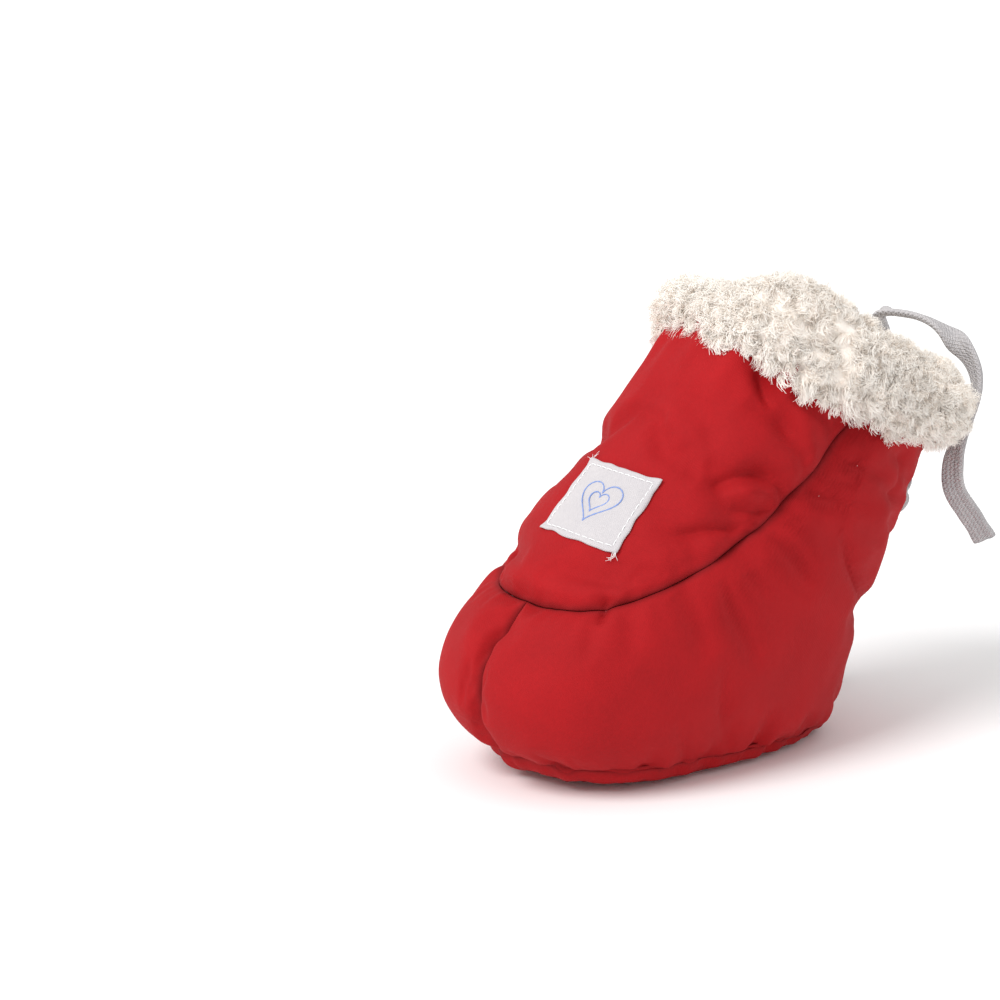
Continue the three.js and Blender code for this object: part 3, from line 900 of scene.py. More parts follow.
def blend(tree: bpy.types.NodeTree, share: bpy.types.NodeSocket, low: object,
          high: object) -> bpy.types.NodeSocket:
    """Adds a node that mixes two colours.

    Args:
        tree: the material's node tree.
        share: 0 for the low colour and 1 for the high one.
        low: a colour or a socket.
        high: the same.

    Returns:
        The colour's socket.
    """
    return add_node(tree, "ShaderNodeMix", {"data_type": "RGBA"}, n0=share, n6=low, n7=high).outputs[2]


class Weave(Enum):
    """How a textile is made, which sets the grain of its surface."""

    PLAIN = "plain"
    KNIT = "knit"


class Finish:
    """Base of the finishes: each makes its material once."""

    name: str

    def material(self) -> bpy.types.Material:
        """The material, made at the first call."""
        known = bpy.data.materials.get(self.name)
        if known is not None:
            return known
        made = bpy.data.materials.new(self.name)
        made.use_nodes = True
        made.node_tree.nodes.clear()
        self.build(made.node_tree)
        return made

    def build(self, tree: bpy.types.NodeTree) -> None:
        """Adds the nodes."""
        raise NotImplementedError

    def output(self, tree: bpy.types.NodeTree, shader: bpy.types.Node) -> None:
        """Ends the tree with its output node."""
        add_node(tree, "ShaderNodeOutputMaterial", Surface=shader.outputs[0])


@dataclass(frozen=True)
class WovenCloth(Finish):
    """Woven or knitted cloth, with its threads as a fine grain and a soft sheen of loose fibres."""

    name: str
    colour: str
    shade: str
    weave: Weave
    pitch: float
    grain: float = 0.10
    roughness: float = 0.82
    sheen: float = 0.10
    seam_painted_shade: float = 0.0

    def build(self, tree: bpy.types.NodeTree) -> None:
        """Threads from two crossed waves in the cloth's own UV, mottle from its place in space."""
        place = add_node(tree, "ShaderNodeTexCoord").outputs
        cells = add_node(tree, "ShaderNodeVectorMath", {"operation": "SCALE"}, n0=place["UV"],
                         Scale=1.0 / self.pitch)
        split = add_node(tree, "ShaderNodeSeparateXYZ", Vector=cells.outputs[0])
        along = calculate(tree, "MULTIPLY", split.outputs[0], math.pi)
        across = calculate(tree, "MULTIPLY", split.outputs[1], math.pi)
        if self.weave is Weave.KNIT:
            along = calculate(tree, "MULTIPLY_ADD", calculate(tree, "SINE", across), 0.9, along)
        threads = calculate(tree, "MULTIPLY", calculate(tree, "SINE", along), calculate(tree, "SINE", across))
        mottle = add_node(tree, "ShaderNodeTexNoise", Vector=place["Object"], Scale=55.0, Detail=3.0)
        slub = add_node(tree, "ShaderNodeTexNoise", Vector=place["Object"], Scale=900.0, Detail=3.0)
        mixed = calculate(tree, "MULTIPLY_ADD", slub.outputs["Fac"], 0.5, mottle.outputs["Fac"])
        tone = add_node(tree, "ShaderNodeMapRange", Value=mixed, From_Min=0.5, From_Max=1.05)
        colour = blend(tree, tone.outputs[0], linear(self.shade), linear(self.colour))
        # Painted shade: near each seam the colour is mixed towards a deep red, standing in for the shade in the
        # seam's valley.
        if self.seam_painted_shade > 0.0:
            near = add_node(tree, "ShaderNodeAttribute", {"attribute_name": "seam"})
            dark = calculate(tree, "MULTIPLY", near.outputs["Fac"], self.seam_painted_shade)
            colour = blend(tree, dark, colour, (0.09, 0.004, 0.006, 1.0))
        height = calculate(tree, "MULTIPLY_ADD", slub.outputs["Fac"], 0.8, threads)
        bump = add_node(tree, "ShaderNodeBump", Height=height, Strength=self.grain, Distance=self.pitch)
        shader = add_node(tree, "ShaderNodeBsdfPrincipled", Base_Color=colour, Roughness=self.roughness,
                          Normal=bump.outputs[0])
        shader.inputs["Sheen Weight"].default_value = self.sheen
        shader.inputs["Sheen Roughness"].default_value = 0.45
        shader.inputs["Sheen Tint"].default_value = linear(self.colour)
        shader.inputs["Specular IOR Level"].default_value = 0.28
        self.output(tree, shader)


@dataclass(frozen=True)
class PileFibre(Finish):
    """Fibres of a sherpa pile: warmer at the root and nearly white at the tip."""

    name: str
    tip: str
    root: str

    def build(self, tree: bpy.types.NodeTree) -> None:
        """Colour from the root-to-tip value, with a small tint that differs from tuft to tuft."""
        tip = add_node(tree, "ShaderNodeAttribute", {"attribute_name": "tip"})
        tuft = add_node(tree, "ShaderNodeAttribute", {"attribute_name": "tuft"})
        colour = blend(tree, tip.outputs["Fac"], linear(self.root), linear(self.tip))
        level = add_node(tree, "ShaderNodeMapRange", Value=tuft.outputs["Fac"], To_Min=0.93, To_Max=1.04)
        tint = add_node(tree, "ShaderNodeHueSaturation", Color=colour, Value=level.outputs[0])
        matt = add_node(tree, "ShaderNodeBsdfPrincipled", Base_Color=tint.outputs[0], Roughness=0.7)
        matt.inputs["Sheen Weight"].default_value = 0.15
        matt.inputs["Specular IOR Level"].default_value = 0.25
        self.output(tree, matt)


@dataclass(frozen=True)
class PileBacking(Finish):
    """The matted foot of the pile between the tufts: lumpy, matt and slightly shaded."""

    name: str
    colour: str
    shade: str
    scale: float = 900.0

    def build(self, tree: bpy.types.NodeTree) -> None:
        """Fine curls from stretched noise, as colour and as bumps."""
        place = add_node(tree, "ShaderNodeTexCoord").outputs
        curls = add_node(tree, "ShaderNodeTexNoise", Vector=place["Object"], Scale=self.scale, Detail=4.0,
                         Distortion=1.2)
        colour = blend(tree, curls.outputs["Fac"], linear(self.shade), linear(self.colour))
        bump = add_node(tree, "ShaderNodeBump", Height=curls.outputs["Fac"], Strength=0.5, Distance=0.5 * MM)
        shader = add_node(tree, "ShaderNodeBsdfPrincipled", Base_Color=colour, Roughness=0.9,
                          Normal=bump.outputs[0])
        shader.inputs["Sheen Weight"].default_value = 0.3
        shader.inputs["Specular IOR Level"].default_value = 0.2
        self.output(tree, shader)


@dataclass(frozen=True)
class SewingThread(Finish):
    """Twisted sewing thread: fine slanting plies and a low gloss."""

    name: str
    colour: str
    pitch: float = 0.5 * MM

    def build(self, tree: bpy.types.NodeTree) -> None:
        """Slanting plies from one wave in the thread's own UV."""
        place = add_node(tree, "ShaderNodeTexCoord").outputs
        plies = add_node(tree, "ShaderNodeTexWave", {"bands_direction": "DIAGONAL"}, Vector=place["UV"],
                         Scale=0.3 / self.pitch)
        bump = add_node(tree, "ShaderNodeBump", Height=plies.outputs["Fac"], Strength=0.4, Distance=0.1 * MM)
        shader = add_node(tree, "ShaderNodeBsdfPrincipled", Base_Color=linear(self.colour), Roughness=0.55,
                          Normal=bump.outputs[0])
        shader.inputs["Sheen Weight"].default_value = 0.2
        shader.inputs["Specular IOR Level"].default_value = 0.4
        self.output(tree, shader)


@dataclass(frozen=True)
class Finishes:
    """All finishes of the bootie, named for the real material and how it is made."""

    # Brushed plain weave: matt, with a fine dry grain, and dark lines of painted shade where it dives into a
    # seam.
    cotton: WovenCloth = WovenCloth("red plain-woven brushed cotton", "aa0b13", "9c0810", Weave.PLAIN,
                                    0.32 * MM, grain=0.16, seam_painted_shade=0.5)
    # Close woven tape: flat and even, with a grain that shows more than the cotton's.
    label: WovenCloth = WovenCloth("white woven cotton tape", "cec9ca", "c2bec1", Weave.PLAIN, 0.30 * MM,
                                   grain=0.30, roughness=0.85, sheen=0.04)
    # Knit: leaning rows of loops in a mottled grey.
    jersey: WovenCloth = WovenCloth("grey heather jersey knit", "d6d2d2", "b4b1b3", Weave.KNIT, 0.62 * MM,
                                    grain=0.55, roughness=0.85, sheen=0.08)
    # Curled fibres: nearly white tips over warmer roots, with no gloss.
    pile: PileFibre = PileFibre("cream sherpa pile fibre", "fffbf5", "fdf3e9")
    # The knitted ground under the pile: fine matted curls.
    backing: PileBacking = PileBacking("cream sherpa knitted backing", "fffaf4", "fbf1e7")
    # Loose lofted fibres: coarser and greyer than the pile.
    wadding: PileBacking = PileBacking("lofted polyester wadding", "fbfaf8", "e9e7e3", 400.0)
    # Twisted threads: slanting plies with a low gloss.
    red_thread: SewingThread = SewingThread("red twisted sewing thread", "9c1620")
    white_thread: SewingThread = SewingThread("white twisted sewing thread", "f4f4f4")
    blue_thread: SewingThread = SewingThread("pale blue embroidery thread", "7f9ad6")


# ------------------------------------------------------------------------------------ sub-assemblies


@dataclass
class CottonShell:
    """The four cotton panels, with the seam allowance turned down into each seam."""

    body: BodyShape
    relief: Relief
    finishes: Finishes
    thickness: float = 1.0 * MM
    seam_gap: float = 0.14 * MM

    def side_grid(self, side: int, rows: int, columns: int, inset: float) -> tuple[np.ndarray, np.ndarray]:
        """Parameters of a side panel's grid, from the toe seam to the heel seam.

        Args:
            side: 1 for the right one, -1 for the left one.
            rows: how many rows, upwards.
            columns: how many points in a row.
            inset: how far the grid stays back from the seams.

        Returns:
            Height parameters and angles.
        """
        share = crowd_ends(columns, 0.72)
        low = inset / float(self.body.per_angle(np.array(0.15), np.array(0.0)))
        angle = low + (np.pi - 2.0 * low) * share
        angle = angle if side > 0 else -angle[::-1]
        edge = self.body.vamp_edge(angle)
        top = edge - inset / self.body.per_up(np.minimum(edge, 0.97), angle)
        bottom = inset / self.body.per_up(np.zeros(columns), angle)
        up = bottom + (top - bottom) * crowd_ends(rows, 0.72)[:, None]
        return up, np.broadcast_to(angle, up.shape)

    def vamp_grid(self, rows: int, columns: int, inset: float) -> tuple[np.ndarray, np.ndarray]:
        """Parameters of the vamp's grid, from one end of its seam to the other.

        Args:
            rows: how many rows, upwards.
            columns: how many points in a row.
            inset: how far the grid stays back from the seam.

        Returns:
            Height parameters and angles.
        """
        limit = math.radians(100.0) - inset / (30.0 * MM)
        angle = np.linspace(-1.0, 1.0, columns) * limit
        low = self.body.vamp_edge(angle) + inset / self.body.per_up(self.body.vamp_edge(angle), angle)
        share = np.linspace(0.0, 1.0, rows) ** 1.5
        up = low + (1.0 - low) * share[:, None]
        return up, np.broadcast_to(angle, up.shape)

    def sole_grid(self, rows: int, columns: int, inset: float) -> tuple[np.ndarray, np.ndarray]:
        """Parameters of the sole's round grid, from its middle outwards.

        Args:
            rows: how many rings.
            columns: how many points in a ring.
            inset: how far the grid stays back from the seam.

        Returns:
            Height parameters and angles.
        """
        angle = np.linspace(-np.pi, np.pi, columns + 1)[:-1]
        edge = inset / (34.0 * MM)
        share = 1.0 - (1.0 - np.linspace(0.02, 1.0, rows)) ** 1.6
        up = -1.0 + share * (1.0 - edge)
        return np.broadcast_to(up[:, None], (rows, columns)), np.broadcast_to(angle, (rows, columns))

    def uv(self, points: np.ndarray) -> np.ndarray:
        """The cloth's own measure: round the foot and upwards.

        Args:
            points: the panel's grid of points.

        Returns:
            Rows by columns by 2, in metres.
        """
        steps = np.linalg.norm(np.diff(points, axis=1), axis=-1).mean(0)
        rise = np.linalg.norm(np.diff(points, axis=0), axis=-1)
        u = np.concatenate([[0.0], np.cumsum(steps)])
        v = np.concatenate([np.zeros((1, points.shape[1])), np.cumsum(rise, axis=0)])
        return np.stack([np.broadcast_to(u, v.shape), v], -1)

    def build(self) -> None:
        """Makes the panels."""
        grids = {
            "right_side": self.side_grid(1, 120, 230, self.seam_gap),
            "left_side": self.side_grid(-1, 120, 230, self.seam_gap),
            "vamp": self.vamp_grid(110, 220, self.seam_gap),
        }
        for name, (up, angle) in grids.items():
            height, near = self.relief.heights(up, angle)
            swelling = self.relief.swelling(up, angle)
            outer = self.body.layer(up, angle, -height) + swelling
            inner = self.body.layer(up, angle, self.thickness - height) + swelling
            outer[..., 2] = np.maximum(outer[..., 2], 0.1 * MM)
            inner[..., 2] = np.maximum(inner[..., 2], 0.3 * MM)
            solid = closed_sheet(outer, inner, self.uv(outer), {"seam": near})
            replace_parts(solid.to_object(f"{name}_panel", "red_cotton", self.finishes.cotton), f"{name}_shell")
        up, angle = self.sole_grid(46, 300, self.seam_gap)
        height, near = self.relief.heights(up, angle)
        outer = self.body.layer(up, angle, -height) + self.relief.swelling(up, angle)
        outer[..., 2] = np.maximum(outer[..., 2], 0.0)
        inner = outer.copy()
        inner[..., 2] += self.thickness
        solid = closed_disc(outer, inner, outer[..., :2], {"seam": near})
        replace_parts(solid.to_object("sole_panel", "red_cotton", self.finishes.cotton), "sole_shell")


@dataclass
class Padding:
    """Wadding and sherpa lining, cut to the same four patterns as the shell."""

    shell: CottonShell
    wadding_inner: float = 6.3 * MM
    lining_outer: float = 6.9 * MM
    lining_inner: float = 9.6 * MM
    channel: float = 1.3 * MM
    corner_retreat: float = 0.75

    def grids(self, inset: float, sole_inset: float) -> dict[str, tuple[np.ndarray, np.ndarray]]:
        """Coarser grids of the three upright panels and the sole, kept back from the seams.

        Args:
            inset: how far they stay back from the upright seams.
            sole_inset: how far they stay back from the sole's edge.

        Returns:
            For each panel, height parameters and angles.
        """
        shell = self.shell
        found = {
            "right_side": shell.side_grid(1, 46, 110, inset),
            "left_side": shell.side_grid(-1, 46, 110, inset),
            "vamp": shell.vamp_grid(46, 110, inset),
            "sole": shell.sole_grid(24, 150, sole_inset),
        }
        for name in ("right_side", "left_side"):
            up, angle = found[name]
            lift = sole_inset / 100.0 / MM * np.linspace(1.0, 0.0, len(up))[:, None]
            found[name] = (up + lift * 0.9, angle)
        return found

    def build(self) -> None:
        """Makes four wadding pads and four lining panels."""
        shell = self.shell
        layers = {
            "wadding": (self.channel, self.wadding_inner * self.corner_retreat, shell.thickness + 0.3 * MM),
            "lining": (0.3 * MM, self.lining_inner * self.corner_retreat, None),
        }
        for layer, (inset, sole_inset, under) in layers.items():
            for name, (up, angle) in self.grids(inset, sole_inset).items():
                if layer == "wadding":
                    height, _ = shell.relief.heights(up, angle, 0.5)
                    outer = shell.relief.surface(up, angle, under, 0.5)
                    deepest = np.maximum(self.wadding_inner, under - height + 0.5 * MM)
                    inner = shell.body.layer(up, angle, deepest)
                else:
                    lumps = 0.45 * MM * soft_noise(shell.body.point(up, angle), 5 * MM, 91)
                    outer = shell.body.layer(up, angle, np.full(up.shape, self.lining_outer))
                    inner = shell.body.layer(up, angle, self.lining_inner + lumps)
                if name == "sole":
                    solid = closed_disc(outer, inner, outer[..., :2])
                else:
                    solid = closed_sheet(outer, inner)
                slot = "wadding" if layer == "wadding" else "sherpa"
                finish = shell.finishes.wadding if layer == "wadding" else shell.finishes.backing
                suffix = "pad" if layer == "wadding" else "fleece"
                piece = solid.to_object(f"{name}_{suffix}", slot, finish)
                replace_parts(piece, f"{name}_{layer}")


@dataclass
class SeamThreads:
    """The thread of each seam, hidden under the shell in the channel between the pads."""

    shell: CottonShell
    radius: float = 0.3 * MM
    depth: float = 4.7 * MM

    def build(self) -> None:
        """Makes one thread for each seam, just under the bottom of its valley."""
        for seam in self.shell.relief.seams:
            keep = slice(14, -14) if seam.name != "sole" else slice(0, -3)
            up, angle = seam.up[keep][::4], seam.angle[keep][::4]
            line = self.shell.body.layer(up, angle, np.full(up.shape, self.depth))
            line[:, 2] = np.maximum(line[:, 2], 1.6 * MM)
            piece = swept(line, round_section(self.radius, 6))
            name = f"{seam.name}_seam_thread"
            made = piece.to_object(f"{seam.name}_seam_stitches", "red_thread", self.shell.finishes.red_thread)
            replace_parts(made, name)


@dataclass
class PileMaker:
    """Makes tufts of curled sherpa fibres on a surface."""

    finishes: Finishes
    per_tuft: int = 27
    fibre_radius: float = 0.115 * MM
    tuft_radius: float = 1.5 * MM
    segments: int = 3

    def tufts(self, roots: np.ndarray, axes: np.ndarray, lengths: np.ndarray, droop: np.ndarray,
              seed: int) -> Surface:
        """All fibres of many tufts as one surface.

        Args:
            roots: the foot of each tuft.
            axes: the direction of each tuft, of length 1.
            lengths: the length of each tuft.
            droop: how far each tuft's tip hangs down.
            seed: fixes the chance values.

        Returns:
            The fibres, with values tip and tuft.
        """
        chance = np.random.default_rng(seed)
        tufts, fibres, stations = len(roots), self.per_tuft, self.segments + 1
        helper = np.where(np.abs(axes[:, 2:]) > 0.8, [[1.0, 0.0, 0.0]], [[0.0, 0.0, 1.0]])
        side = unit(np.cross(axes, helper))
        other = np.cross(axes, side)
        turn = chance.uniform(0.0, 2.0 * np.pi, (tufts, fibres))
        spread = self.tuft_radius * np.sqrt(chance.uniform(0.0, 1.0, (tufts, fibres)))
        heading = side[:, None] * np.cos(turn)[..., None] + other[:, None] * np.sin(turn)[..., None]
        offset = heading * spread[..., None]
        t = np.linspace(0.0, 1.0, stations)
        length = lengths[:, None] * chance.uniform(0.62, 1.08, (tufts, fibres))
        gather = 1.0 - 0.42 * smooth(t * 1.3) + 0.3 * t**3
        start = chance.uniform(0.0, 2.0 * np.pi, (tufts, fibres))
        own = chance.uniform(0.0, 2.0 * np.pi, (tufts, 1))
        phase = own + 0.35 * start
        curl = lengths[:, None] * chance.uniform(0.16, 0.36, (tufts, fibres))
        twist = chance.uniform(2.4, 5.2, (tufts, fibres))
        swing = phase[..., None] + twist[..., None] * t
        sideways = curl[..., None] * (np.cos(swing) - np.cos(phase)[..., None])
        upwards = curl[..., None] * (np.sin(swing) - np.sin(phase)[..., None])
        lines = (
            roots[:, None, None] + offset[:, :, None] * gather[:, None]
            + axes[:, None, None] * (length[..., None] * (t - 0.16 * t**2))[..., None]
            + side[:, None, None] * sideways[..., None] + other[:, None, None] * upwards[..., None]
        )
        lines[..., 2] -= droop[:, None, None] * t**2
        radius = self.fibre_radius * (1.0 - 0.55 * t) * chance.uniform(0.8, 1.25, (tufts, fibres))[..., None]
        corner = np.arange(3) * 2.0 * np.pi / 3.0
        ring = side[:, None, None, None] * np.cos(corner)[:, None]
        ring = ring + other[:, None, None, None] * np.sin(corner)[:, None]
        points = lines[..., None, :] + ring * radius[..., None, None]
        count = tufts * fibres
        points = points.reshape(count * stations * 3, 3)
        j = np.arange(3)
        k = (j + 1) % 3
        s = np.arange(self.segments)[:, None] * 3
        one = np.stack([s + j, s + k, s + 3 + k, s + 3 + j], -1).reshape(-1, 4)
        starts = (np.arange(count) * stations * 3)[:, None, None]
        quads = (one[None] + starts).reshape(-1, 4)
        last = (stations - 1) * 3
        caps = np.array([[0, 2, 1], [last, last + 1, last + 2]])
        triangles = (caps[None] + starts).reshape(-1, 3)
        tip = np.broadcast_to(t[None, None, :, None], (tufts, fibres, stations, 3)).ravel()
        shade = np.broadcast_to(chance.uniform(0.0, 1.0, tufts)[:, None, None, None],
                                (tufts, fibres, stations, 3)).ravel()
        return Surface(points, quads, triangles, values={"tip": tip, "tuft": shade})


@dataclass
class SherpaCuff:
    """The turned-down sherpa cuff: a thick soft backing with a dense pile of curled tufts."""

    body: BodyShape
    finishes: Finishes
    drop: float = 0.8
    thickness: float = 6.6 * MM
    rise: float = 5.4 * MM
    lining_inner: float = 8.6 * MM
    pile_length: float = 3.5 * MM
    tuft_spacing: float = 2.0 * MM

    def section(self) -> tuple[np.ndarray, np.ndarray]:
        """The closed section of the cuff as smooth runs of up and depth, upwards outside first."""
        rim = 1.0 / (110.0 * MM)
        knots = np.array([
            [self.drop + 0.01, -1.0 * MM],
            [self.drop - 0.005, -2.4 * MM],
            [self.drop + 0.01, -4.0 * MM],
            [self.drop + 0.05, -self.thickness - 0.8 * MM],
            [0.93, -self.thickness - 1.2 * MM],
            [1.0, -self.thickness],
            [1.0 + 1.6 * MM * rim, -3.0 * MM],
            [1.0 + (self.rise + 1.2 * MM) * rim, 0.6 * MM],
            [1.0 + (self.rise + 1.4 * MM) * rim, 4.0 * MM],
            [1.0 + self.rise * rim, 7.2 * MM],
            [1.0 + 0.4 * MM * rim, self.lining_inner],
            [0.90, self.lining_inner + 0.2 * MM],
            [0.90, self.lining_inner - 1.4 * MM],
            [1.0 + 0.9 * MM * rim, self.lining_inner - 2.0 * MM],
            [1.0 + 0.9 * MM * rim, 1.2 * MM],
            [1.0 + 0.5 * MM * rim, -0.9 * MM],
            [0.93, -1.0 * MM],
            [0.86, -1.0 * MM],
        ])
        closed = np.concatenate([knots, knots[:1]])
        scaled = closed * [110.0, 1000.0]
        walked = np.concatenate([[0.0], np.cumsum(np.linalg.norm(np.diff(scaled, axis=0), axis=1))])
        even = np.linspace(0.0, walked[-1], 97)[:-1]
        fine = np.stack([np.interp(even, walked, closed[:, axis]) for axis in range(2)], -1)
        for _ in range(3):
            fine = (np.roll(fine, 1, 0) + 2.0 * fine + np.roll(fine, -1, 0)) / 4.0
        return fine[:, 0], fine[:, 1]

    def point(self, up: np.ndarray, depth: np.ndarray, angle: np.ndarray) -> np.ndarray:
        """Points of the cuff, with the soft lumps and the wavy free edge of a turned fleece.

        Args:
            up: height parameters.
            depth: metres inwards from the shell, negative for outwards.
            angle: angles round the foot.

        Returns:
            The points.
        """
        along = np.stack([np.cos(angle), np.sin(angle)], -1)
        front = smooth((np.cos(angle) + 0.1) / 0.9)
        wave = 0.012 * soft_noise(along, 0.55, 61, 8) + 0.06 * smooth((-np.cos(angle) - 0.1) / 0.9)
        wave = wave - 0.022 * np.exp(-((np.abs(angle) - 1.35) / 0.6) ** 2)
        slump = 0.7 * MM * soft_noise(along, 0.5, 62, 8) - 3.6 * MM * front
        raised = up + wave * smooth((1.0 - up) / 0.2)
        base = self.body.layer(raised, angle, depth - slump * smooth(-depth / (5.0 * MM)))
        near = np.exp(-((angle - 0.82) / 0.5) ** 2)
        far = np.exp(-((angle + 1.36) / 0.52) ** 2)
        base[..., 2] += (9.0 * MM * near + 3.0 * MM * far - 0.4 * MM * front) * smooth((up - 0.88) / 0.12)
        set_back = 5.4 * MM * np.exp(-((angle + 0.30) / 0.75) ** 2)
        base[..., 1] += set_back
        lumps = 0.8 * MM * soft_noise(base, 8.0 * MM, 63) + 0.55 * MM * soft_noise(base, 3.6 * MM, 64)
        outward = smooth((-depth - 1.5 * MM) / (2.0 * MM)) + smooth((up - 1.005) / 0.02)
        return base + self.body.normal(up, angle) * (lumps * np.minimum(outward, 1.0))[..., None]

    def build_backing(self) -> bpy.types.Object:
        """Makes the thick ring that carries the pile."""
        section_up, section_depth = self.section()
        columns = 380
        angle = np.linspace(-np.pi, np.pi, columns + 1)[:-1]
        up = np.broadcast_to(section_up[:, None], (len(section_up), columns))
        depth = np.broadcast_to(section_depth[:, None], up.shape)
        points = self.point(up, depth, np.broadcast_to(angle, up.shape))
        rows = len(section_up)
        quads = grid_quads(rows + 1, columns, wrap=True) % (rows * columns)
        ring = Surface(points.reshape(-1, 3), quads)
        piece = ring.to_object("cuff_backing", "sherpa", self.finishes.backing)
        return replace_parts(piece, "sherpa_cuff")

    def pile_places(self) -> tuple[np.ndarray, ...]:
        """Foot, direction, length and droop of each tuft, in jittered rows."""
        chance = np.random.default_rng(7)
        section_up, section_depth = self.section()
        scaled = np.stack([section_up * 110.0 * MM, section_depth], -1)
        walked = np.concatenate([[0.0], np.cumsum(np.linalg.norm(np.diff(scaled, axis=0), axis=1))])
        total = walked[-1]
        piled = (section_depth > self.lining_inner - 0.6 * MM) & (section_up > 0.95)
        last = float(walked[piled].max())
        rows = int(last / self.tuft_spacing)
        feet, ups, angles = [], [], []
        for row in range(rows):
            at = (row + 0.5) * self.tuft_spacing
            columns = int(2.0 * np.pi * (36.0 * MM) / self.tuft_spacing)
            angle = (np.arange(columns) + 0.5 * (row % 2)) / columns * 2.0 * np.pi - np.pi
            angle = angle + chance.normal(0.0, 0.35, columns) * self.tuft_spacing / (36.0 * MM)
            place = np.clip(at + chance.normal(0.0, 0.3, columns) * self.tuft_spacing, 0.0, total)
            ups.append(np.interp(place, walked, section_up))
            feet.append(np.interp(place, walked, section_depth))
            angles.append(angle)
        up, depth, angle = np.concatenate(ups), np.concatenate(feet), np.concatenate(angles)
        roots = self.point(up, depth, angle)
        middle = self.body.layer(np.full(up.shape, 0.95), angle, np.full(up.shape, -1.0 * MM))
        inside = self.body.layer(np.full(up.shape, 1.0), angle, np.full(up.shape, 4.0 * MM))
        core = np.where((depth < -1.0 * MM)[:, None], middle, inside)
        away = roots - core
        normal = self.body.normal(up, angle)
        outer = smooth((-depth - 1.0 * MM) / (3.0 * MM))[:, None]
        axis = unit(unit(away) * (1.0 - outer) + normal * outer * 1.2)
        chaos = chance.normal(0.0, 0.6, axis.shape)
        comb = np.zeros_like(axis)
        comb[:, 2] = -0.3 * smooth((1.0 - up) / 0.1)
        axis = unit(axis + chaos + comb)
        length = self.pile_length * chance.uniform(0.72, 1.12, len(up))
        length = np.where(depth > 6.0 * MM, length * 0.75, length)
        droop = 0.12 * length + 0.5 * MM * smooth((0.86 - up) / 0.05)
        return roots, axis, length, droop

    def build(self) -> None:
        """Makes the backing and the pile, in pieces of a size that programs can handle."""
        self.build_backing()
        roots, axes, lengths, droop = self.pile_places()
        maker = PileMaker(self.finishes)
        order = np.argsort(np.arctan2(roots[:, 0], roots[:, 1]))
        faces_per_tuft = maker.per_tuft * 20
        parts = int(np.ceil(len(order) * faces_per_tuft / 190000))
        log.info("cuff pile: %d tufts in %d pieces", len(order), parts)
        for number, members in enumerate(np.array_split(order, parts)):
            surface = maker.tufts(roots[members], axes[members], lengths[members], droop[members],
                                  100 + number)
            surface.to_object(f"cuff_pile_{number + 1}", "sherpa", self.finishes.pile, faceted=True)


@dataclass
class MouthPile:
    """The short pile on the inside of the shaft that shows in the mouth."""

    body: BodyShape
    finishes: Finishes
    depth: float = 9.5 * MM
    lowest: float = 0.6
    pile_length: float = 3.6 * MM
    spacing: float = 2.5 * MM

    def build(self) -> None:
        """Makes the tufts in jittered rows, pointing inwards and a little upwards."""
        chance = np.random.default_rng(17)
        rows = int((0.99 - self.lowest) * 105.0 * MM / self.spacing)
        columns = int(2.0 * np.pi * 26.0 * MM / self.spacing)
        row, column = np.meshgrid(np.arange(rows), np.arange(columns), indexing="ij")
        up = self.lowest + (row + 0.5 + chance.normal(0.0, 0.3, row.shape)) / rows * (0.985 - self.lowest)
        place = column + 0.5 * (row % 2) + chance.normal(0.0, 0.3, row.shape)
        angle = place / columns * 2.0 * np.pi - np.pi
        up, angle = up.ravel(), angle.ravel()
        roots = self.body.layer(up, angle, np.full(up.shape, self.depth))
        inwards = unit([0.0, 0.0, 0.5] - self.body.normal(up, angle))
        axes = unit(inwards + chance.normal(0.0, 0.5, roots.shape))
        lengths = self.pile_length * chance.uniform(0.7, 1.15, len(up))
        maker = PileMaker(self.finishes, per_tuft=16, fibre_radius=0.17 * MM, tuft_radius=1.3 * MM)
        parts = int(np.ceil(len(up) * maker.per_tuft * 20 / 190000))
        for number, members in enumerate(np.array_split(np.arange(len(up)), parts)):
            surface = maker.tufts(roots[members], axes[members], lengths[members], 0.1 * lengths[members],
                                  300 + number)
            surface.to_object(f"lining_pile_{number + 1}", "sherpa", self.finishes.pile, faceted=True)


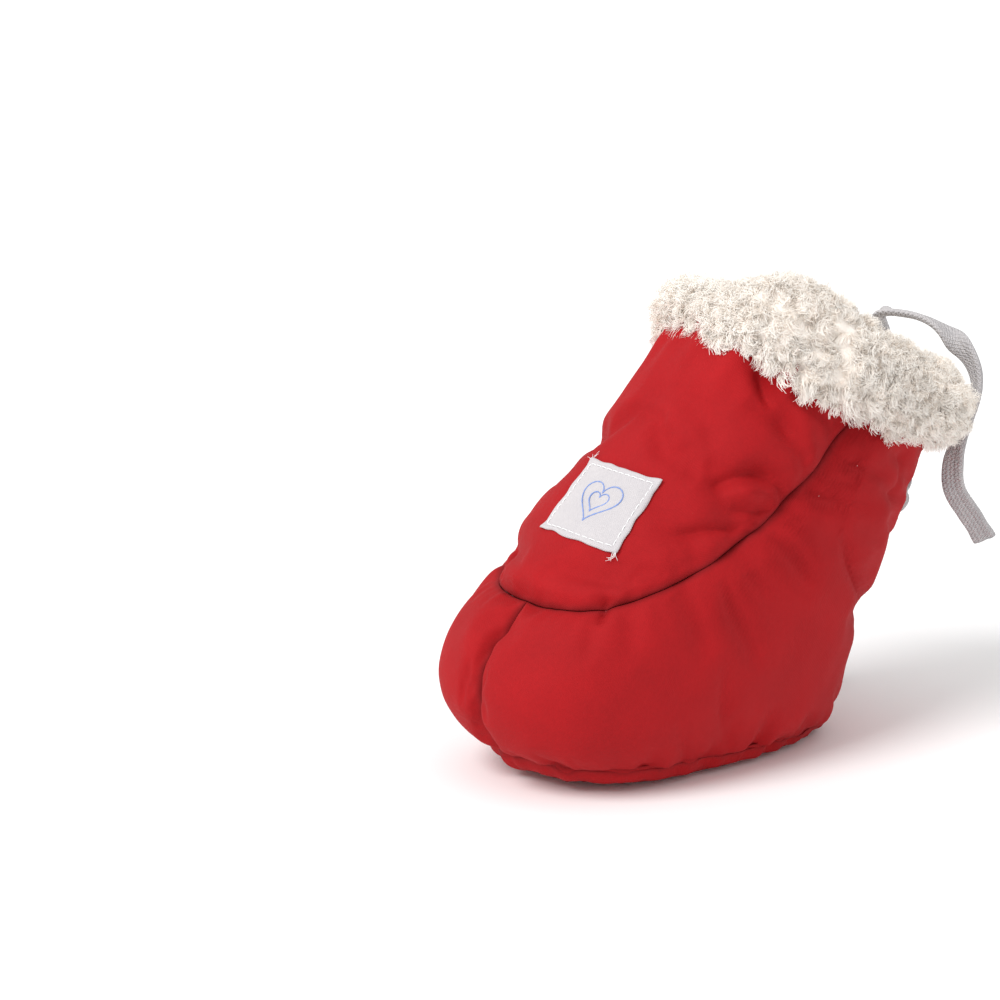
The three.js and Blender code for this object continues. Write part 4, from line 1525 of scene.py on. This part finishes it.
@dataclass
class Label:
    """The woven label on the vamp, with its stitching and a small generic heart."""

    body: BodyShape
    relief: Relief
    finishes: Finishes
    width: float = 25 * MM
    height: float = 22.5 * MM
    thickness: float = 0.5 * MM
    hem: float = 1.5 * MM
    stitch_pitch: float = 2.1 * MM
    stitch_radius: float = 0.15 * MM
    middle_up: float = 0.507
    middle_angle: float = math.radians(9.0)
    lift: float = 0.16 * MM

    def place(self, right: np.ndarray, upward: np.ndarray, above: np.ndarray) -> np.ndarray:
        """Points over the vamp.

        Args:
            right: distance to the right of the label's middle, in metres.
            upward: distance above the label's middle.
            above: height above the cloth.

        Returns:
            The points.
        """
        middle = np.array(self.middle_up), np.array(self.middle_angle)
        up = self.middle_up + upward / self.body.per_up(*middle)
        angle = self.middle_angle + right / self.body.per_angle(*middle)
        under = self.relief.surface(up, angle, 0.0, 0.7)
        return under + self.body.normal(up, angle) * np.asarray(above)[..., None]

    def build_tape(self) -> None:
        """Makes the tape: slightly uneven edges, turned hems and lifted corners."""
        u, v = np.meshgrid(np.linspace(-1.0, 1.0, 92), np.linspace(-1.0, 1.0, 84))
        wobble = np.stack([u * 6.0, v * 6.0], -1)
        right = u * self.width / 2.0 + 0.22 * MM * soft_noise(wobble, 3.0, 31) * np.abs(u) ** 6
        upward = v * self.height / 2.0 + 0.22 * MM * soft_noise(wobble, 3.0, 32) * np.abs(v) ** 6
        edge = np.minimum((1.0 - np.abs(u)) * self.width / 2.0, (1.0 - np.abs(v)) * self.height / 2.0)
        corner = smooth((np.abs(u) + np.abs(v) - 1.72) / 0.28)
        puff = 0.16 * MM * np.exp(-((edge - 0.7 * MM) / (0.55 * MM)) ** 2)
        dent = -0.10 * MM * np.exp(-((edge - self.hem) / (0.25 * MM)) ** 2)
        above = self.lift + puff + dent + 0.5 * MM * corner + 0.06 * MM * soft_noise(wobble, 4.0, 33)
        top = self.place(right, upward, above + self.thickness * (0.55 + 0.45 * smooth(edge / (0.3 * MM))))
        bottom = self.place(right, upward, above)
        uv = np.stack([right, upward], -1)
        tape = closed_sheet(top, bottom, uv)
        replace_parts(tape.to_object("label_tape", "label_cotton", self.finishes.label), "label")

    def stitches(self, start: np.ndarray, end: np.ndarray, above: float) -> list[Surface]:
        """A row of stitches between two places on the label, each a short sunk-in thread.

        Args:
            start: the first place, as (right, upward).
            end: the last place.
            above: height of the thread above the cloth.

        Returns:
            The stitches.
        """
        count = max(1, int(np.linalg.norm(end - start) / self.stitch_pitch))
        made = []
        for number in range(count):
            share = (number + np.linspace(0.06, 0.94, 7)) / count
            flat = start + (end - start) * share[:, None]
            arch = np.sin(np.linspace(0.0, np.pi, 7)) ** 0.5
            line = self.place(flat[:, 0], flat[:, 1], above + (arch - 0.75) * 0.4 * MM)
            made.append(swept(line, round_section(self.stitch_radius, 6)))
        return made

    def build_stitching(self) -> None:
        """Makes the row of stitches inside the edges, and frayed yarns at two corners."""
        x, y = self.width / 2.0 - self.hem, self.height / 2.0 - self.hem
        corners = np.array([[-x, -y], [x, -y], [x, y], [-x, y], [-x, -y]])
        above = self.lift + self.thickness + 0.04 * MM
        rows = []
        for start, end in zip(corners[:-1], corners[1:]):
            rows += self.stitches(start, end, above)
        chance = np.random.default_rng(5)
        for corner, turn in (((-1.0, 1.0), 2.2), ((1.0, -1.0), -0.9)):
            foot = np.array(corner) * [self.width / 2.0 - 0.8 * MM, self.height / 2.0 - 0.5 * MM]
            for _ in range(6):
                length = chance.uniform(1.6, 3.4) * MM
                heading = turn + chance.normal(0.0, 0.42)
                share = np.linspace(0.0, 1.0, 8)
                bend = chance.normal(0.0, 0.6) * share**2
                right = foot[0] + length * share * np.cos(heading + bend)
                upward = foot[1] + length * share * np.sin(heading + bend)
                line = self.place(right, upward, above + share * chance.uniform(0.0, 0.7) * MM)
                rows.append(swept(line, round_section(0.09 * MM, 5), share=1.0 - 0.5 * share))
        piece = merged(rows).to_object("label_edge_stitching", "white_thread", self.finishes.white_thread)
        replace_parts(piece, "label_stitching")

    def build_motif(self) -> None:
        """Makes two heart outlines, one in the other, in backstitch of pale blue thread."""
        made = []
        above = self.lift + self.thickness + 0.05 * MM
        thinning = np.array([0.6, 0.9, 1.0, 1.0, 1.0, 0.9, 0.6])
        for size, count in ((0.40 * MM, 30), (0.20 * MM, 15)):
            t = np.linspace(0.0, 2.0 * np.pi, count * 6 + 1)
            right = 16.0 * np.sin(t) ** 3 * size
            lobes = 13.0 * np.cos(t) - 5.0 * np.cos(2 * t) - 2.0 * np.cos(3 * t) - np.cos(4 * t)
            upward = (lobes + 2.0) * size
            for number in range(count):
                run = slice(number * 6, number * 6 + 7)
                line = self.place(right[run], upward[run], np.full(7, above))
                made.append(swept(line, round_section(0.2 * MM, 5), share=thinning))
        merged(made).to_object("label_heart", "label_cotton", self.finishes.blue_thread)

    def build(self) -> None:
        """Makes tape, stitching and motif."""
        self.build_tape()
        self.build_stitching()
        self.build_motif()


# Middle lines of the two loose ends in millimetres, from the tack to the cut end, as in the CAD part.
# The turns say, for shares of the length, which way the band's width points.
LONG_ROUTE = [
    (-9.2, 77.0, 64.4), (-12.4, 79.4, 61.2), (-16.0, 83.6, 60.8), (-18.6, 86.2, 64.8),
    (-19.6, 87.6, 70.6), (-19.6, 90.2, 77.6), (-18.6, 92.8, 85.0), (-16.8, 93.4, 92.6),
    (-14.6, 90.6, 99.6), (-12.0, 86.2, 104.4), (-8.0, 83.6, 106.8), (-2.6, 85.4, 107.2),
    (4.0, 89.6, 105.4), (9.8, 92.8, 101.2), (14.0, 95.4, 95.6), (16.0, 96.0, 89.0),
    (16.0, 94.2, 82.6), (15.0, 92.0, 76.2), (13.6, 91.0, 70.0), (12.6, 91.2, 64.6),
    (12.0, 92.8, 59.4), (12.0, 96.6, 54.2), (12.0, 101.0, 48.8), (12.0, 104.8, 43.8),
]
LONG_TURNS = [
    (0.0, (0.0, 0.2, 1.0)), (0.1, (-0.3, 0.9, 0.2)), (0.2, (-0.9, 0.3, 0.0)),
    (0.4, (-0.6, 0.7, -0.2)), (0.52, (-0.3, 0.9, -0.3)), (0.64, (0.7, -0.3, 0.6)),
    (0.76, (0.9, -0.2, 0.2)), (0.88, (0.7, 0.6, 0.1)), (1.0, (0.7, 0.6, 0.35)),
]
SHORT_ROUTE = [
    (9.2, 76.8, 64.4), (10.4, 75.8, 62.2), (9.6, 74.4, 58.8), (6.4, 73.0, 55.2),
    (1.8, 72.0, 51.6), (-3.4, 71.2, 47.6), (-8.4, 70.4, 42.8), (-12.6, 69.7, 36.8),
    (-15.4, 69.4, 30.0), (-17.0, 70.0, 23.0), (-18.0, 71.0, 16.0), (-19.4, 73.4, 9.6),
    (-22.4, 77.0, 4.6), (-27.0, 80.0, 1.9), (-33.0, 81.0, 1.3), (-39.0, 79.0, 1.3),
    (-44.0, 75.0, 1.3), (-48.0, 69.5, 1.3),
]
SHORT_TURNS = [
    (0.0, (0.0, 0.2, 1.0)), (0.15, (0.9, 0.0, 0.4)), (0.4, (0.6, -0.2, 0.8)),
    (0.6, (1.0, 0.0, 0.2)), (0.75, (1.0, 0.3, 0.0)), (0.85, (0.3, 1.0, 0.0)),
    (1.0, (0.6, 1.0, 0.0)),
]


@dataclass
class TieBand:
    """The jersey tie: a folded flat band, tacked to the heel, with two loose ends."""

    body: BodyShape
    finishes: Finishes
    width: float = 6.4 * MM
    thickness: float = 2.0 * MM
    tack_up: float = 0.735
    tack_length: float = 15 * MM

    def section(self) -> np.ndarray:
        """Section of the folded band: two soft rolls with a groove between them on one face."""
        turn = np.linspace(0.0, 2.0 * np.pi, 33)[:-1]
        flat = np.sign(np.cos(turn)) * np.abs(np.cos(turn)) ** 0.7
        high = np.sign(np.sin(turn)) * np.abs(np.sin(turn)) ** 0.6
        groove = np.exp(-((flat - 0.18) / 0.16) ** 2) * (high > 0) * 0.62
        return np.stack([flat * self.width / 2.0, (high * (1.0 - groove)) * self.thickness / 2.0], -1)

    def loose_end(self, name: str, node: str, knots: list, turns: list) -> None:
        """Makes one loose end of the tie.

        Args:
            name: the piece's name.
            node: the CAD node that it replaces.
            knots: points of its middle line in millimetres, before the bootie is centred.
            turns: for shares of the length, the direction of the band's width.
        """
        route = np.array(knots) * MM + [0.0, self.body.shift_y, 0.0]
        line = curve_through(route, 150)
        share = np.linspace(0.0, 1.0, len(line))
        at = [turn[0] for turn in turns]
        across = np.stack([np.interp(share, at, [turn[1][axis] for turn in turns]) for axis in range(3)], -1)
        for _ in range(10):
            across[1:-1] = (across[:-2] + 2.0 * across[1:-1] + across[2:]) / 4.0
        limp = 0.10 * MM * soft_noise(line, 6 * MM, 51)
        size = 1.0 + limp / self.width * 2.0
        surface = swept(line, self.section(), across, size)
        piece = surface.to_object(name, "grey_jersey", self.finishes.jersey)
        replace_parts(piece, node)

    def build_tack(self) -> None:
        """Makes the middle of the band on the heel seam and the bar tack that holds it."""
        per_angle = float(self.body.per_angle(np.array(self.tack_up), np.array(np.pi)))
        per_up = float(self.body.per_up(np.array(self.tack_up), np.array(np.pi)))
        across = np.linspace(-0.5, 0.5, 60) * self.tack_length / per_angle + np.pi
        pinch = 0.75 * MM * np.exp(-(((across - np.pi) * per_angle) / (1.6 * MM)) ** 2)
        line = self.body.layer(np.full(60, self.tack_up), across, -(1.45 * MM - pinch * 0.4))
        up = np.full(60, self.tack_up)
        sideways = self.body.point(up + 0.01, across) - self.body.point(up - 0.01, across)
        size = 1.0 - 0.25 * pinch / (0.75 * MM)
        band = swept(line, self.section(), sideways, size)
        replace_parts(band.to_object("tie_band_tacked", "grey_jersey", self.finishes.jersey), "tie_band_middle")
        bars = []
        for number in range(7):
            shift = (number - 3) * 0.26 * MM / per_angle
            share = np.linspace(-1.0, 1.0, 16)
            arch = -(0.9 * MM + 1.75 * MM * np.sqrt(np.maximum(0.0, 1.0 - np.abs(share) ** 5)))
            loop = self.body.layer(self.tack_up + share * 2.9 * MM / per_up, np.full(16, np.pi + shift), arch)
            bars.append(swept(loop, round_section(0.14 * MM, 6)))
        piece = merged(bars).to_object("tie_bar_tack", "white_thread", self.finishes.white_thread)
        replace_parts(piece, "bar_tack")

    def build(self) -> None:
        """Makes both loose ends and the tack."""
        self.loose_end("tie_long", "tie_long_end", LONG_ROUTE, LONG_TURNS)
        self.loose_end("tie_short", "tie_short_end", SHORT_ROUTE, SHORT_TURNS)
        self.build_tack()


# ---------------------------------------------------------------------------------------- the studio


@dataclass(frozen=True)
class Studio:
    """Camera, white floor and soft light."""

    azimuth: float = 51.0
    elevation: float = 14.3
    distance: float = 0.9
    lens: float = 123.1
    target: tuple[float, float, float] = (0.0, 6 * MM, 60 * MM)
    aim_left: float = 47.6 * MM
    aim_up: float = 5.9 * MM

    def camera(self, shift_y: float) -> None:
        """Puts the camera in front of the right side, aimed beside the bootie.

        Args:
            shift_y: how far the body is shifted to be centred.
        """
        a, e = math.radians(self.azimuth), math.radians(self.elevation)
        back = Vector((math.sin(a) * math.cos(e), -math.cos(a) * math.cos(e), math.sin(e)))
        right = Vector((math.cos(a), math.sin(a), 0.0))
        upward = back.cross(right)
        target = Vector(self.target) + Vector((0.0, shift_y, 0.0))
        data = bpy.data.cameras.new("camera")
        data.lens = self.lens
        data.sensor_width = 36.0
        data.clip_start, data.clip_end = 0.05, 20.0
        made = bpy.data.objects.new("camera", data)
        bpy.context.scene.collection.objects.link(made)
        made.location = target + back * self.distance
        aim = target - right * self.aim_left + upward * self.aim_up
        made.rotation_mode = "QUATERNION"
        made.rotation_quaternion = (aim - made.location).to_track_quat("-Z", "Y")
        bpy.context.scene.camera = made

    def floor(self) -> None:
        """Makes the plain white floor."""
        mesh = bpy.data.meshes.new("floor")
        mesh.from_pydata([(-6, -6, 0), (6, -6, 0), (6, 6, 0), (-6, 6, 0)], [], [(0, 1, 2, 3)])
        made = bpy.data.objects.new("floor", mesh)
        made.location.z = -0.2 * MM
        bpy.context.scene.collection.objects.link(made)
        white = bpy.data.materials.new("white studio paper")
        white.use_nodes = True
        shader = white.node_tree.nodes["Principled BSDF"]
        shader.inputs["Base Color"].default_value = (0.98, 0.98, 0.98, 1.0)
        shader.inputs["Roughness"].default_value = 1.0
        shader.inputs["Specular IOR Level"].default_value = 0.0
        mesh.materials.append(white)

    def lamp(self, name: str, place: tuple[float, float, float], spread: float, power: float) -> None:
        """Adds a sun that shines on the bootie from a place, with soft shadows.

        Args:
            name: the lamp's name.
            place: the direction it shines from.
            spread: the sun's width in degrees, which softens the shadows.
            power: its strength.
        """
        data = bpy.data.lights.new(name, "SUN")
        data.angle = math.radians(spread)
        data.energy = power
        made = bpy.data.objects.new(name, data)
        made.location = place
        made.rotation_euler = (Vector((0.0, 0.0, 0.06)) - Vector(place)).to_track_quat("-Z", "Y").to_euler()
        bpy.context.scene.collection.objects.link(made)

    def light(self) -> None:
        """Bright soft room light and a large key from the upper left of the camera."""
        world = bpy.data.worlds.new("studio")
        world.use_nodes = True
        background = world.node_tree.nodes["Background"]
        background.inputs["Color"].default_value = (1.0, 1.0, 1.0, 1.0)
        background.inputs["Strength"].default_value = 0.8
        bpy.context.scene.world = world
        self.lamp("key", (0.05, -0.95, 1.1), 30.0, 2.0)
        bpy.context.scene.view_settings.view_transform = "Standard"

    def build(self, shift_y: float) -> None:
        """Sets up the studio.

        Args:
            shift_y: how far the body is shifted to be centred.
        """
        self.camera(shift_y)
        self.floor()
        self.light()


def centred_body() -> BodyShape:
    """The body in the part's frame: the sole's toe end is where the CAD sole panel has it."""
    plain = BodyShape()
    low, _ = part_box("sole_shell")
    toe = plain.point(np.array(0.0), np.array(0.0))[1]
    return BodyShape(shift_y=float(low.y - toe))


def main() -> None:
    """Builds the bootie and its studio."""
    body = centred_body()
    log.info("body shifted by %.2f mm", body.shift_y / MM)
    Studio().build(body.shift_y)
    finishes = Finishes()
    TieBand(body, finishes).build()
    relief = Relief(body)
    shell = CottonShell(body, relief, finishes)
    shell.build()
    Padding(shell).build()
    SeamThreads(shell).build()
    SherpaCuff(body, finishes).build()
    MouthPile(body, finishes).build()
    Label(body, relief, finishes).build()


if __name__ == "__main__":
    main()
